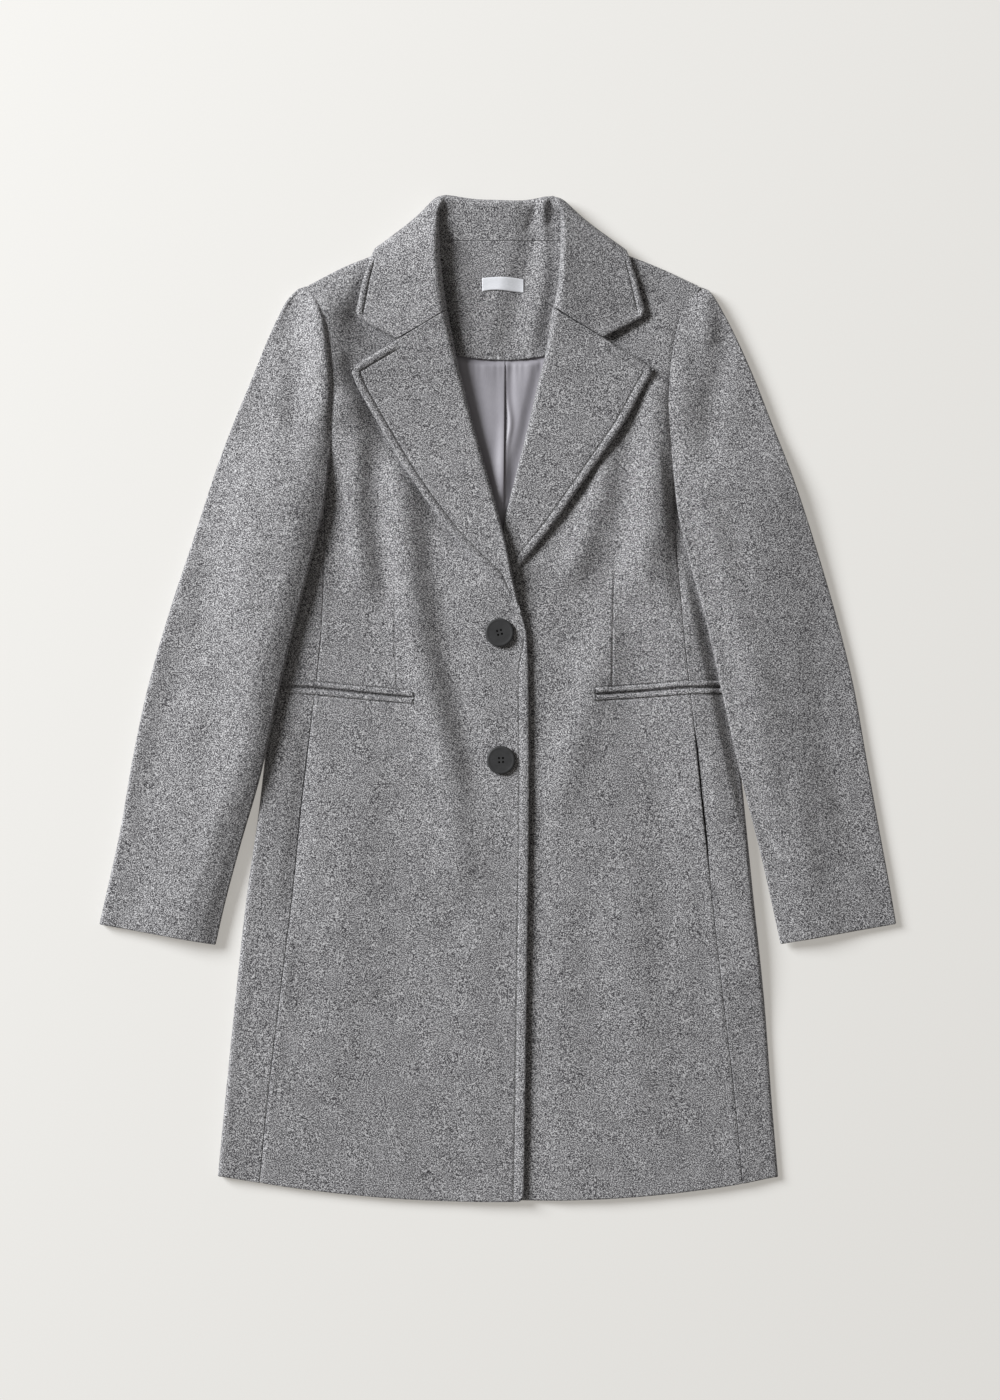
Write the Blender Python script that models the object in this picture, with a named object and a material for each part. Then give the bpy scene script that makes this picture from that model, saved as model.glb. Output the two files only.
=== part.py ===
"""Single-breasted wool overcoat with two buttons, closed and laid flat on its back.

Lengths in the tables are millimetres: +X to the wearer's left, +Y to the collar, +Z up from the surface.
Every panel is a grid of points on the outside of the cloth, thickened inwards to a closed wall.
"""
import math

import bpy
import numpy as np

for old in list(bpy.data.objects):
    bpy.data.objects.remove(old)

# Driving dimensions, millimetres
WOOL = 2.4  # wall of the coating
SATIN = 1.0  # wall of the lining
WOVEN = 0.8  # wall of the neck label
SEAM = 0.3  # gap between pieces that are sewn together
FACING_GAP = 0.6  # neck facing above the back
BODY_TOP = 8.2  # outside of a front above the surface
SIDE_UNDER = 34.0  # side panel on the underside, from its fold to the back seam
SHOULDER_UNDER = 6.0  # front on the underside, from the shoulder fold to the back
SLEEVE_TOP = 10.5  # thickness of the flattened sleeve
SLEEVE_UNDER = 22.0  # upper sleeve on the underside, from its fold to the hind-arm seam
ARMHOLE_GAP = 0.5  # front and back edge beside the sleeve
ROLL_GAP = 3.2  # front from the cloth that turns under a roll line
HIND_GAP = 1.5  # upper and under sleeve on the underside
OVER_BODY = 10.5  # height at which a sleeve crosses the side of the body
LAP_RISE = 1.6  # right front where it lies on the left front
LAP_DROP = 2.6  # left front where it lies under the right front
BREAK_RISE = 4.2  # right front where it crosses the end of the left lapel
COLLAR_LIFT = 3.1  # body raised by the collar that lies under the neck
NECK_Y = 434.9  # seam of collar stand and neck facing
COLLAR_TOP = 473.8  # roll of the collar at the back of the neck
COLLAR_HEM = 405.4  # edge of the collar under the back of the neck
CENTRE_X = 2.0  # centre back
FACING_HALF = (57.5, -16.0)  # half width of the neck facing at the neck, and its change to the lower edge
LABEL_X = (-14.8, 24.8)  # ends of the neck label
LABEL_Y = (399.0, 392.6, 386.4)  # rows of the neck label, from its upper edge
WELT = 5.2  # height of a pocket welt
WELT_WALL = 1.4
WELT_GAP = 0.6  # welt above the panels it crosses
SLIT = 1.2  # pocket mouth between the two welts
BUTTON_D = 27.0
BUTTON_T = 4.2
TURN = 4  # facets round a turned edge
FOLD_STEPS = 6  # facets round the collar at the shoulder
BUTTON_AT = {"button_upper": (1.6, 62.9), "button_lower": (3.0, -58.2)}

SIGN = {"right": -1.0, "left": 1.0}  # the wearer's right is at negative x

# Front edge below the lapel: y, x
FRONT_EDGE = {
    "right": (
        (-477.69, 24.8), (-390.0, 26.1), (-286.0, 27.7), (-191.0, 29.0), (-96.0, 30.0),
        (-20.0, 29.8), (32.0, 28.9), (61.5, 27.7), (84.0, 20.5),
    ),
    "left": (
        (-475.2, -25.5), (-286.0, -25.5), (-96.0, -25.0), (32.0, -24.6), (61.5, -23.6), (88.0, -17.0),
    ),
}
HEM_SAG = {"right": 6.0, "left": 7.4}

# Seam of front and side panel: y, x
SIDE_SEAM = {
    "right": (
        (-460.0, -226.4), (-381.0, -218.8), (-286.0, -207.4), (-191.0, -195.8), (-96.0, -186.1),
        (-22.0, -177.2), (29.0, -170.9), (61.0, -168.0), (94.0, -166.5), (132.0, -165.5), (174.6, -164.7),
    ),
    "left": (
        (-461.0, 232.9), (-381.0, 225.5), (-286.0, 214.4), (-191.0, 203.7), (-96.0, 193.3),
        (-22.0, 185.8), (29.0, 180.0), (61.0, 176.8), (94.0, 174.0), (132.0, 170.7), (174.6, 168.7),
    ),
}

# Fold at the side of the body: y, right x, left x
SIDE_FOLD = (
    (-454.0, -266.3, 266.6), (-390.7, -260.2, 261.2), (-286.2, -249.7, 253.3), (-191.2, -239.3, 243.2),
    (-96.2, -226.0, 233.8), (-39.2, -220.3, 228.6), (8.3, -219.8, 227.2), (55.8, -219.3, 226.7),
    (93.8, -221.2, 228.1), (131.8, -225.0, 231.9), (188.8, -229.8, 236.7),
)

# Shoulder fold, from the neck to the armhole: x, y
SHOULDER = {
    "right": ((-66.0, 442.0), (-117.7, 421.5), (-150.0, 408.7), (-179.0, 393.6)),
    "left": ((69.0, 442.0), (123.6, 421.2), (155.9, 408.7), (190.0, 392.9)),
}

# Sleeve from shoulder to cuff: inner x, inner y, outer x, outer y
SLEEVE = {
    "right": (
        (-179.8, 393.2, -188.9, 391.0), (-170.9, 377.5, -200.3, 379.3), (-163.7, 361.7, -209.3, 362.7),
        (-158.5, 331.3, -219.8, 339.9), (-155.7, 293.3, -234.0, 304.7), (-156.1, 260.1, -248.3, 270.5),
        (-159.9, 223.0, -263.0, 231.6), (-164.6, 181.2, -278.2, 186.9), (-175.6, 135.6, -292.5, 143.2),
        (-191.3, 73.9, -311.9, 84.3), (-207.9, 4.5, -331.4, 16.9), (-225.0, -73.4, -347.6, -58.2),
        (-245.0, -141.8, -359.4, -126.6), (-258.3, -191.2, -369.4, -172.2), (-268.2, -233.9, -379.0, -214.3),
    ),
    "left": (
        (190.7, 392.4, 199.6, 389.6), (180.6, 379.8, 205.8, 381.7), (173.0, 362.7, 216.3, 363.6),
        (165.9, 331.3, 230.5, 335.1), (162.4, 295.2, 246.2, 299.0), (161.6, 260.1, 259.5, 264.8),
        (165.9, 223.0, 273.7, 228.7), (170.2, 181.2, 288.5, 186.9), (180.6, 135.6, 302.7, 143.2),
        (197.3, 73.9, 320.3, 84.3), (212.9, 4.5, 337.4, 16.9), (230.5, -73.4, 351.0, -58.2),
        (248.1, -141.8, 363.3, -126.6), (259.5, -191.2, 372.1, -174.1), (268.6, -233.2, 379.0, -214.1),
    ),
}
CAP_ROWS = 7  # rows of the table down to the underarm

# Lapel from gorge to break: roll x, roll y, edge x, edge y, roll radius, lift of the edge off the front
LAPEL = {
    "right": (
        (-47.7, 367.8, -139.9, 313.6, 6.0, 3.0), (-39.8, 328.5, -133.8, 296.2, 5.6, 2.8),
        (-30.3, 288.9, -115.8, 263.9, 5.1, 2.6), (-19.2, 246.4, -91.1, 222.1, 4.6, 2.4),
        (-8.4, 208.8, -67.3, 186.9, 4.2, 2.2), (1.1, 173.9, -40.7, 152.7, 3.8, 1.9),
        (7.7, 147.0, -17.0, 128.0, 3.4, 1.6), (13.1, 120.4, 1.1, 110.0, 3.1, 1.2),
        (17.7, 96.7, 9.6, 92.9, 2.8, 0.9),
    ),
    "left": (
        (51.8, 370.6, 149.7, 312.7, 6.0, 3.0), (45.3, 328.5, 137.9, 293.3, 5.4, 2.8),
        (38.1, 300.0, 121.7, 263.9, 5.0, 2.6), (28.6, 259.1, 99.9, 231.6, 4.5, 2.4),
        (19.1, 221.1, 75.2, 196.4, 4.0, 2.1), (9.6, 183.1, 48.6, 159.4, 3.3, 1.5),
        (3.0, 155.6, 26.7, 132.8, 2.8, 1.0), (-3.7, 129.9, 8.7, 111.9, 2.65, 0.8),
    ),
}

# Collar leaf from gorge to shoulder fold: roll x, roll y, edge x, edge y, roll z, edge z, roll radius, angle
COLLAR = {
    "right": (
        (-47.8, 368.4, -136.2, 361.7, 17.8, 13.6, 6.0, 180.0),
        (-51.6, 394.0, -132.2, 379.5, 19.4, 14.8, 6.0, 180.0),
        (-54.3, 418.7, -128.1, 396.9, 20.0, 15.5, 5.8, 170.0),
        (-55.8, 445.0, -124.2, 409.5, 18.0, 15.8, 4.8, 120.0),
        (-56.9, 475.7, -117.7, 427.3, 14.5, 15.5, 4.0, 70.0),
    ),
    "left": (
        (52.9, 371.2, 141.4, 363.6, 16.9, 13.6, 6.0, 180.0),
        (57.0, 394.0, 136.8, 380.5, 19.0, 14.8, 6.0, 180.0),
        (58.8, 418.7, 132.2, 397.8, 20.0, 15.5, 5.8, 170.0),
        (59.4, 445.0, 128.6, 408.5, 18.0, 15.8, 4.8, 120.0),
        (59.6, 475.7, 122.7, 426.0, 14.5, 15.5, 4.0, 70.0),
    ),
}
NOTCH = {"right": (-95.8, 341.2), "left": (100.4, 342.6)}

# Soft folds that the lying cloth keeps: half width, height, points x, y along the crest
FOLDS = (
    (17.0, 3.0, ((-91.0, 205.0), (-79.0, 132.0), (-74.0, 65.0), (-48.0, -7.0), (-27.0, -125.0))),
    (12.0, 1.8, ((-142.0, 222.0), (-126.0, 103.0))),
    (15.0, 2.2, ((132.0, 208.0), (127.0, 56.0))),
    (18.0, 2.6, ((106.0, 50.0), (72.0, -92.0))),
    (24.0, 1.8, ((-140.0, -90.0), (-168.0, -400.0))),
    (26.0, 1.8, ((120.0, -140.0), (140.0, -420.0))),
)
SLEEVE_FOLDS = (
    (11.0, 2.0, ((-187.0, 372.0), (-190.0, 330.0))),
    (13.0, -2.4, ((-204.0, 322.0), (-202.0, 240.0))),
    (10.0, 2.0, ((199.0, 376.0), (200.0, 332.0))),
    (12.0, -2.4, ((205.0, 330.0), (199.0, 272.0))),
    (14.0, 1.6, ((-250.0, 120.0), (-300.0, -60.0))),
    (14.0, 1.6, ((262.0, 120.0), (305.0, -60.0))),
)

# Pocket mouths, from the inner end to the side: x, y
POCKET = {
    "right": ((-80.6, 1.2), (-128.0, 5.2), (-170.0, 9.4), (-211.0, 12.4)),
    "left": ((92.8, 4.4), (140.0, 7.2), (181.0, 10.4), (218.0, 11.4)),
}

# Button in section, from the axis out and back: radius share, height share
BUTTON_SECTION = (
    (0.0, 0.0), (0.9, 0.0), (1.0, 0.25), (1.0, 0.75), (0.94, 1.0), (0.86, 1.0), (0.78, 0.78), (0.0, 0.74),
)
HOLE_D = 2.2
HOLE_AT = 1.9  # from the button's centre lines


def step(low, high, value):
    """Smooth rise from 0 at low to 1 at high."""
    t = np.clip((np.asarray(value, float) - low) / (high - low), 0.0, 1.0)
    return t * t * (3.0 - 2.0 * t)


def smooth(stations, values, at):
    """Cubic through table values at rising stations."""
    x = np.asarray(stations, float)
    y = np.asarray(values, float).reshape(len(x), -1)
    at = np.clip(np.asarray(at, float), x[0], x[-1])
    h = np.diff(x)[:, None]
    slope = np.diff(y, axis=0) / h
    inner = (slope[:-1] * h[1:] + slope[1:] * h[:-1]) / (h[1:] + h[:-1])
    m = np.vstack([slope[:1], inner, slope[-1:]])
    i = np.clip(np.searchsorted(x, at, side="right") - 1, 0, len(h) - 1)
    t = ((at - x[i])[:, None]) / h[i]
    lead = (2 * t**3 - 3 * t**2 + 1) * y[i] + (t**3 - 2 * t**2 + t) * h[i] * m[i]
    return lead + (3 * t**2 - 2 * t**3) * y[i + 1] + (t**3 - t**2) * h[i] * m[i + 1]


def stations(points):
    """Distance along a row of points."""
    p = np.asarray(points, float)
    return np.concatenate([[0.0], np.cumsum(np.linalg.norm(np.diff(p, axis=0), axis=1))])


def along(points, share):
    """Points at shares of the length of a smooth line."""
    s = stations(points)
    return smooth(s, points, np.asarray(share) * s[-1])


def folds(table, x, y):
    """Height of the soft folds at x, y."""
    total = np.zeros(np.broadcast(x, y).shape)
    for half, height, line in table:
        p = np.asarray(line, float)
        s = stations(p)
        nearest = np.full(total.shape, 1e9)
        reach = np.zeros(total.shape)
        for k in range(len(p) - 1):
            d = p[k + 1] - p[k]
            t = np.clip(((x - p[k, 0]) * d[0] + (y - p[k, 1]) * d[1]) / (d @ d), 0.0, 1.0)
            off = np.hypot(x - p[k, 0] - t * d[0], y - p[k, 1] - t * d[1])
            closer = off < nearest
            nearest = np.where(closer, off, nearest)
            reach = np.where(closer, (s[k] + t * (s[k + 1] - s[k])) / s[-1], reach)
        ends = step(0.0, 0.25, reach) * step(0.0, 0.25, 1.0 - reach)
        total = total + height * ends * np.exp(-((nearest / half) ** 2))
    return total


def collar_lift(x, y):
    """Body raised where the collar lies under the neck."""
    return COLLAR_LIFT * step(352.0, 402.0, y) * (1.0 - step(125.0, 165.0, np.abs(x)))


def body_top(side, x, y):
    """Outside of a front or side panel above the surface."""
    z = BODY_TOP + folds(FOLDS, x, y) + collar_lift(x, y)
    if side == "right":
        crossing = np.exp(-((x - 5.0) ** 2 + (y - 128.0) ** 2) / (2.0 * 32.0**2))
        return z + LAP_RISE * step(-45.0, -10.0, x) + BREAK_RISE * crossing
    drop = LAP_DROP - 1.2 * step(95.0, 135.0, y)
    return z - drop * (1.0 - step(36.0, 84.0, x))


def side_fold(side, y):
    """x of the fold at the side of the body."""
    t = np.asarray(SIDE_FOLD)
    return smooth(t[:, 0], t[:, 1 if side == "right" else 2], np.ravel(y))[:, 0].reshape(np.shape(y))


def sleeve_rest(side, x, y):
    """Height of what the sleeve lies on: the surface, or the side of the body."""
    inside = SIGN[side] * (side_fold(side, y) - x)
    return OVER_BODY * step(-27.0, -1.5, inside) * (1.0 - step(195.0, 265.0, y))


def turned(start, edge, low, angle, steps):
    """Lines of points that carry the cloth on from start, round the edge and under."""
    lines = []
    sweep = np.asarray(angle, float) * np.ones(len(start))
    widest = np.sin(np.minimum(sweep, math.pi / 2))
    middle = (start[:, 2] + low) / 2.0
    radius = (start[:, 2] - low) / 2.0
    for k in range(1, steps + 1):
        a = sweep * k / steps
        out = (np.sin(a) / widest)[:, None]
        xy = start[:, :2] + (edge - start[:, :2]) * out
        lines.append(np.column_stack([xy, middle + radius * np.cos(a)]))
    return lines


def thicken(grid, wall, outward):
    """Inside points of a grid whose normal, times outward, faces out."""
    rows = np.gradient(grid, axis=0)
    cols = np.gradient(grid, axis=1)
    normal = np.cross(rows, cols) * outward
    normal /= np.maximum(np.linalg.norm(normal, axis=2), 1e-9)[:, :, None]
    return grid - wall * normal


def material(name, colour, roughness):
    made = bpy.data.materials.new(name)
    made.use_nodes = True
    shader = made.node_tree.nodes["Principled BSDF"]
    shader.inputs["Base Color"].default_value = (*colour, 1.0)
    shader.inputs["Roughness"].default_value = roughness
    return made


WOOL_GREY = material("wool", (0.235, 0.233, 0.242), 0.95)
LINING_GREY = material("lining", (0.31, 0.30, 0.33), 0.45)
LABEL_WHITE = material("label", (0.72, 0.73, 0.78), 0.8)
BUTTON_GREY = material("button", (0.055, 0.055, 0.058), 0.55)


def add(name, points, faces, look):
    mesh = bpy.data.meshes.new(name)
    mesh.from_pydata([tuple(p) for p in np.asarray(points) * 0.001], [], faces)
    mesh.materials.append(look)
    made = bpy.data.objects.new(name, mesh)
    bpy.context.collection.objects.link(made)
    return made


def panel(name, grid, wall, outward, look=WOOL_GREY):
    """Closed wall from the outside grid of a piece of cloth."""
    n, m = grid.shape[:2]
    points = np.vstack([grid.reshape(-1, 3), thicken(grid, wall, outward).reshape(-1, 3)])
    index = np.arange(n * m).reshape(n, m)
    faces = []
    for i in range(n - 1):
        for j in range(m - 1):
            a, b, c, d = index[i, j], index[i + 1, j], index[i + 1, j + 1], index[i, j + 1]
            faces.append((a, b, c, d))
            faces.append((d + n * m, c + n * m, b + n * m, a + n * m))
    rim = [*index[0, :], *index[1:, -1], *index[-1, -2::-1], *index[-2:0:-1, 0]]
    for a, b in zip(rim, rim[1:] + rim[:1]):
        faces.append((a, b, b + n * m, a + n * m))
    if outward < 0:
        faces = [f[::-1] for f in faces]
    return add(name, points, [tuple(int(v) for v in f) for f in faces], look)


def roll_in(row, extra):
    """Points beside a roll line, where the cloth under the roll begins."""
    t = np.asarray(row, float)
    to_edge = t[:, 2:4] - t[:, 0:2]
    to_edge /= np.linalg.norm(to_edge, axis=1)[:, None]
    return t[:, 0:2] + to_edge * (t[:, 4:5] + extra)


def sleeve_rows(side, cap, arm):
    """Inner and outer edge of a sleeve: cap rows down to the underarm, then arm rows."""
    t = np.asarray(SLEEVE[side])
    s = stations((t[:, 0:2] + t[:, 2:4]) / 2.0)
    upper = s[CAP_ROWS] * (np.arange(cap + 1) / cap) ** 1.25
    lower = s[CAP_ROWS] + (s[-1] - s[CAP_ROWS]) * np.arange(1, arm + 1) / arm
    rows = smooth(s, t, np.concatenate([upper, lower]))
    return rows[:, 0:2], rows[:, 2:4]


def front(side, across, low, cap):
    """Grid of a front from the hem to the seam behind the shoulder, and its lower seam points."""
    sign = SIGN[side]
    lapel = np.asarray(LAPEL[side])
    seam = np.asarray(SIDE_SEAM[side])
    edge = np.asarray(FRONT_EDGE[side])
    inset = roll_in(lapel, ROLL_GAP)
    split = next(k for k in range(len(inset)) if inset[k, 1] < 186.0)
    lower = np.vstack([edge[:, ::-1], inset[:split - 1:-1]])
    v = np.asarray(low)
    y_in = lower[0, 1] + (lower[-1, 1] - lower[0, 1]) * v
    inner = np.column_stack([smooth(lower[:, 1], lower[:, 0], y_in)[:, 0], y_in])
    y_out = seam[0, 0] + (seam[-1, 0] - seam[0, 0]) * v
    outer = np.column_stack([smooth(seam[:, 0], seam[:, 1], y_out)[:, 0], y_out])
    seam_points = outer.copy()
    outer[:, 0] -= sign * SEAM / 2.0
    leaf = np.asarray(COLLAR[side])
    beside = roll_in(leaf[1:4][:, [0, 1, 2, 3, 6]], ROLL_GAP)
    shoulder = along(SHOULDER[side], np.linspace(0.0, 1.0, across + 1))
    slope = np.gradient(shoulder, axis=0)
    square = np.column_stack([slope[:, 1], -slope[:, 0]]) / np.linalg.norm(slope, axis=1)[:, None]
    square *= -np.sign(square[:, 1:2])
    last = shoulder + square * BODY_TOP / 2.0
    last[-1, 0] -= sign * ARMHOLE_GAP
    neck = np.vstack([inset[split::-1], beside, last[:1]])
    armhole = sleeve_rows(side, cap, 4)[0][cap:0:-1]
    armhole = armhole - np.array([sign * ARMHOLE_GAP, 0.0])
    share = np.linspace(0.0, 1.0, len(armhole) + 2)[1:-1]
    inner_up = along(neck, share)
    u = np.linspace(0.0, 1.0, across + 1)[:, None]
    rows = []
    for k in range(len(v)):
        row = inner[k] + (outer[k] - inner[k]) * u
        row[:, 1] -= HEM_SAG[side] * 4.0 * u[:, 0] * (1.0 - u[:, 0]) * (1.0 - v[k]) ** 3
        rows.append(row)
    bow = last - (last[0] + (last[-1] - last[0]) * u)
    for k in range(len(armhole)):
        rows.append(inner_up[k] + (armhole[k] - inner_up[k]) * u + bow * share[k] ** 3)
    rows.append(last)
    xy = np.array(rows)
    z = body_top(side, xy[:, :, 0], xy[:, :, 1])
    flat = np.dstack([xy, z])
    end = flat[-1]
    rest = collar_lift(end[:, 0], end[:, 1])
    turn = turned(end, shoulder, rest, math.pi, TURN)
    tail = turn[-1].copy()
    tail[:, :2] += square * SHOULDER_UNDER
    tail[:, 2] = collar_lift(tail[:, 0], tail[:, 1])
    return np.concatenate([flat, np.array(turn + [tail])]), seam_points


def side_panel(side, seam_points, across):
    """Grid of a side panel from the front seam round the side fold, and its line on the back."""
    sign = SIGN[side]
    count = len(seam_points)
    v = np.linspace(0.0, 1.0, count) ** 0.8
    start = seam_points + np.array([sign * SEAM / 2.0, 0.0])
    edge_y = seam_points[:, 1] + 6.0 * (1.0 - v) ** 4
    edge = np.column_stack([side_fold(side, edge_y), edge_y])
    radius = BODY_TOP / 2.0
    stop = edge - np.array([sign * radius, 0.0])
    cols = []
    for u in np.linspace(0.0, 1.0, across + 1):
        xy = start + (stop - start) * u
        z = body_top(side, xy[:, 0], xy[:, 1]) * (1.0 - u) + BODY_TOP * u
        cols.append(np.column_stack([xy, z]))
    cols += turned(cols[-1], edge, 0.0, math.pi, TURN)
    under = cols[-1].copy()
    under[:, 0] -= sign * SIDE_UNDER
    cols.append((cols[-1] + under) / 2.0)
    cols.append(under)
    return np.stack(cols, axis=1), under[:, :2]


def back(right_line, left_line, across, cap):
    """Grid of the back on the surface, from the hem to shoulders and neck."""
    u = np.linspace(0.0, 1.0, across + 1)
    v = np.linspace(0.0, 1.0, len(right_line))
    rows = []
    for k in range(len(right_line)):
        a = right_line[k] + np.array([SEAM, 0.0])
        b = left_line[k] - np.array([SEAM, 0.0])
        row = a + (b - a) * u[:, None]
        row[:, 1] -= 15.0 * 4.0 * u * (1.0 - u) * (1.0 - v[k]) ** 3
        rows.append(row)
    reach = BODY_TOP / 2.0 + SHOULDER_UNDER + SEAM + 0.3
    lines = {}
    for side in SIGN:
        line = along(SHOULDER[side], np.linspace(0.0, 0.93, 5))
        slope = np.gradient(line, axis=0)
        square = np.column_stack([slope[:, 1], -slope[:, 0]]) / np.linalg.norm(slope, axis=1)[:, None]
        lines[side] = line - square * np.sign(square[:, 1:2]) * reach
    top = np.vstack([lines["right"][::-1], [(CENTRE_X, NECK_Y - 1.5)], lines["left"]])
    top = along(top, u)
    arm = {side: sleeve_rows(side, cap, 4)[0][cap:1:-1] for side in SIGN}
    for k in range(len(arm["right"])):
        w = (k + 1.0) / (len(arm["right"]) + 1.0)
        a = arm["right"][k] + np.array([ARMHOLE_GAP + 0.3, 0.0])
        b = arm["left"][k] - np.array([ARMHOLE_GAP + 0.3, 0.0])
        straight = top[0] + (top[-1] - top[0]) * u[:, None]
        rows.append(a + (b - a) * u[:, None] + (top - straight) * w**2)
    rows.append(top)
    xy = np.array(rows)
    return np.dstack([xy, collar_lift(xy[:, :, 0], xy[:, :, 1])])


def sleeve(side, across, cap, arm):
    """Grids of an upper and an under sleeve."""
    inner, outer = sleeve_rows(side, cap, arm)
    width = np.linalg.norm(outer - inner, axis=1)
    to = (outer - inner) / width[:, None]
    free = 1.0 - step(190.0, 275.0, inner[:, 1])
    sweep = 0.5 + (math.pi - 0.5) * free
    roll = SLEEVE_TOP / 2.0
    begin = roll * np.sin(np.minimum(sweep, math.pi / 2.0))
    flat = width - roll - begin
    seam_z = body_top(side, inner[:, 0], inner[:, 1])
    cols = []
    for f in np.linspace(0.0, 1.0, across + 1):
        xy = inner + to * (begin + f * flat)[:, None]
        rest = sleeve_rest(side, xy[:, 0], xy[:, 1])
        rise = step(0.0, 0.45, f)
        full = np.minimum(width / 60.0, 1.0)
        cap_z = seam_z + (SLEEVE_TOP - seam_z) * rise + 3.6 * full * math.sin(math.pi * f**0.75)
        free_z = SLEEVE_TOP + 1.4 * math.sin(math.pi * f)
        ease = math.sin(math.pi * f) ** 0.5 if 0.0 < f < 1.0 else 0.0
        z = rest + cap_z + (free_z - cap_z) * free + ease * folds(SLEEVE_FOLDS, xy[:, 0], xy[:, 1])
        cols.append(np.column_stack([xy, z]))
    inside = turned(cols[0], inner, cols[0][:, 2] - SLEEVE_TOP, sweep, TURN)
    end_rest = sleeve_rest(side, outer[:, 0], outer[:, 1])
    outside = turned(cols[-1], outer, end_rest, math.pi, TURN)
    tuck = np.minimum(width - roll - 0.9, SLEEVE_UNDER)
    under = []
    for f in (0.35, 0.7, 1.0):
        xy = outside[-1][:, :2] - to * tuck[:, None] * f
        under.append(np.column_stack([xy, sleeve_rest(side, xy[:, 0], xy[:, 1])]))
    upper = np.stack(inside[::-1] + cols + outside + under, axis=1)
    first = next(k for k in range(len(width)) if width[k] > 40.0)
    low, high = 0.9 + (roll + 0.9) * free, width - roll - tuck - HIND_GAP
    cols = []
    for f in np.linspace(0.0, 1.0, 6):
        xy = inner + to * (low + (high - low) * f)[:, None]
        cols.append(np.column_stack([xy, sleeve_rest(side, xy[:, 0], xy[:, 1])]))
    return upper, np.stack(cols, axis=1)[first:]


def lapel(side, across, count):
    """Grid of a lapel: under the roll line, round it and out to the lapel's edge."""
    t = np.asarray(LAPEL[side])
    s = stations((t[:, 0:2] + t[:, 2:4]) / 2.0)
    t = smooth(s, t, np.linspace(0.0, s[-1], count + 1))
    roll, edge, radius, lift = t[:, 0:2], t[:, 2:4], t[:, 4], t[:, 5]
    width = np.linalg.norm(edge - roll, axis=1)
    to = (edge - roll) / width[:, None]
    under = roll + to * (radius + 0.5)[:, None]
    low = body_top(side, under[:, 0], under[:, 1]) - WOOL
    high = low + 2.0 * radius
    end = body_top(side, edge[:, 0], edge[:, 1]) + WOOL + lift
    cols = []
    for f in np.linspace(0.0, 1.0, across + 1):
        xy = roll + to * (radius + f * (width - radius))[:, None]
        cols.append(np.column_stack([xy, end + (high - end) * (1.0 - f) ** 1.6]))
    inside = turned(cols[0], roll, low, math.pi, TURN)
    return np.stack(inside[::-1] + cols, axis=1)


def collar_half(side, across, count):
    """Rows of half the collar, from the gorge over the shoulder fold to the centre back."""
    t = np.asarray(COLLAR[side])
    fold = t[-1].copy()
    share = np.linspace(0.0, 1.0, across + 1)
    to_gorge = t[-2, 0:4] - fold[0:4]
    along_roll = to_gorge[0:2] / np.linalg.norm(to_gorge[0:2])
    along_edge = to_gorge[2:4] / np.linalg.norm(to_gorge[2:4])
    line = fold[2:4] - fold[0:2]
    normal = np.array([line[1], -line[0]]) / np.linalg.norm(line)
    normal *= -np.sign(normal[1])
    begin = fold.copy()
    begin[0:2] += along_roll * fold[4] / 2.0 / (along_roll @ normal)
    begin[2:4] += along_edge * fold[5] / 2.0 / (along_edge @ normal)
    t[-1] = begin
    s = stations((t[:, 0:2] + t[:, 2:4]) / 2.0)
    spread = smooth(s, t, s[-1] * np.linspace(0.0, 1.0, count + 1))
    drop = np.array(NOTCH[side]) - (t[0, 0:2] + t[0, 2:4]) / 2.0
    rows = []
    for k, r in enumerate(spread):
        roll, edge, radius, sweep = r[0:2], r[2:4], r[6], math.radians(r[7])
        width = np.linalg.norm(edge - roll)
        to = (edge - roll) / width
        begin_at = radius * math.sin(min(sweep, math.pi / 2.0))
        pull = drop * (1.0 - k / count) ** 4
        flat = []
        for f in share:
            place = (begin_at + f * (width - begin_at)) / width
            kink = 1.0 - abs(2.0 * place - 1.0)
            z = r[5] + (r[4] - r[5]) * (1.0 - f) ** 1.6
            flat.append((*(roll + to * place * width + pull * kink), z))
        flat = np.array(flat)
        around = turned(flat[:1], roll[None, :], flat[:1, 2] - 2.0 * radius, sweep, TURN)
        rows.append(np.vstack([np.vstack(around)[::-1], flat]))
    last = rows[-1]
    first = len(last) - len(share)
    place = np.linspace(0.0, 1.0, len(share))
    place = np.concatenate([np.zeros(first), place])[:, None]
    target = fold[0:2] + (fold[2:4] - fold[0:2]) * place
    target[:first] += last[:first, :2] - last[first, :2]
    middle = np.where(np.arange(len(last)) < first, last[first, 2], last[:, 2]) / 2.0
    for a in np.linspace(0.0, math.pi, FOLD_STEPS + 1)[1:]:
        xy = last[:, :2] + (target - last[:, :2]) * math.sin(a)
        rows.append(np.column_stack([xy, middle + (last[:, 2] - middle) * math.cos(a)]))
    radius, sweep = 4.1, math.radians(70.0)
    begin_at = radius * math.sin(sweep)
    fall = COLLAR_TOP - begin_at - COLLAR_HEM
    centre = [(CENTRE_X, COLLAR_TOP - begin_at - f * fall, 0.0) for f in share]
    roll = [
        (CENTRE_X, COLLAR_TOP - radius * (math.sin(sweep) - math.sin(a)), radius * (1.0 - math.cos(a)))
        for a in np.linspace(sweep, 0.0, first + 1)[:-1]
    ]
    centre = np.array(roll + centre)
    under = rows[-1]
    for f in (0.3, 0.65, 1.0):
        rows.append(under + (centre - under) * f)
    return rows


def flat_piece(rows, height):
    """Grid that lies at a height over rows of x, y."""
    xy = np.array(rows)
    return np.dstack([xy, height(xy[:, :, 0], xy[:, :, 1])])


def facing_top(x, y):
    return 2.0 * WOOL + FACING_GAP + collar_lift(x, y)


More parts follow.
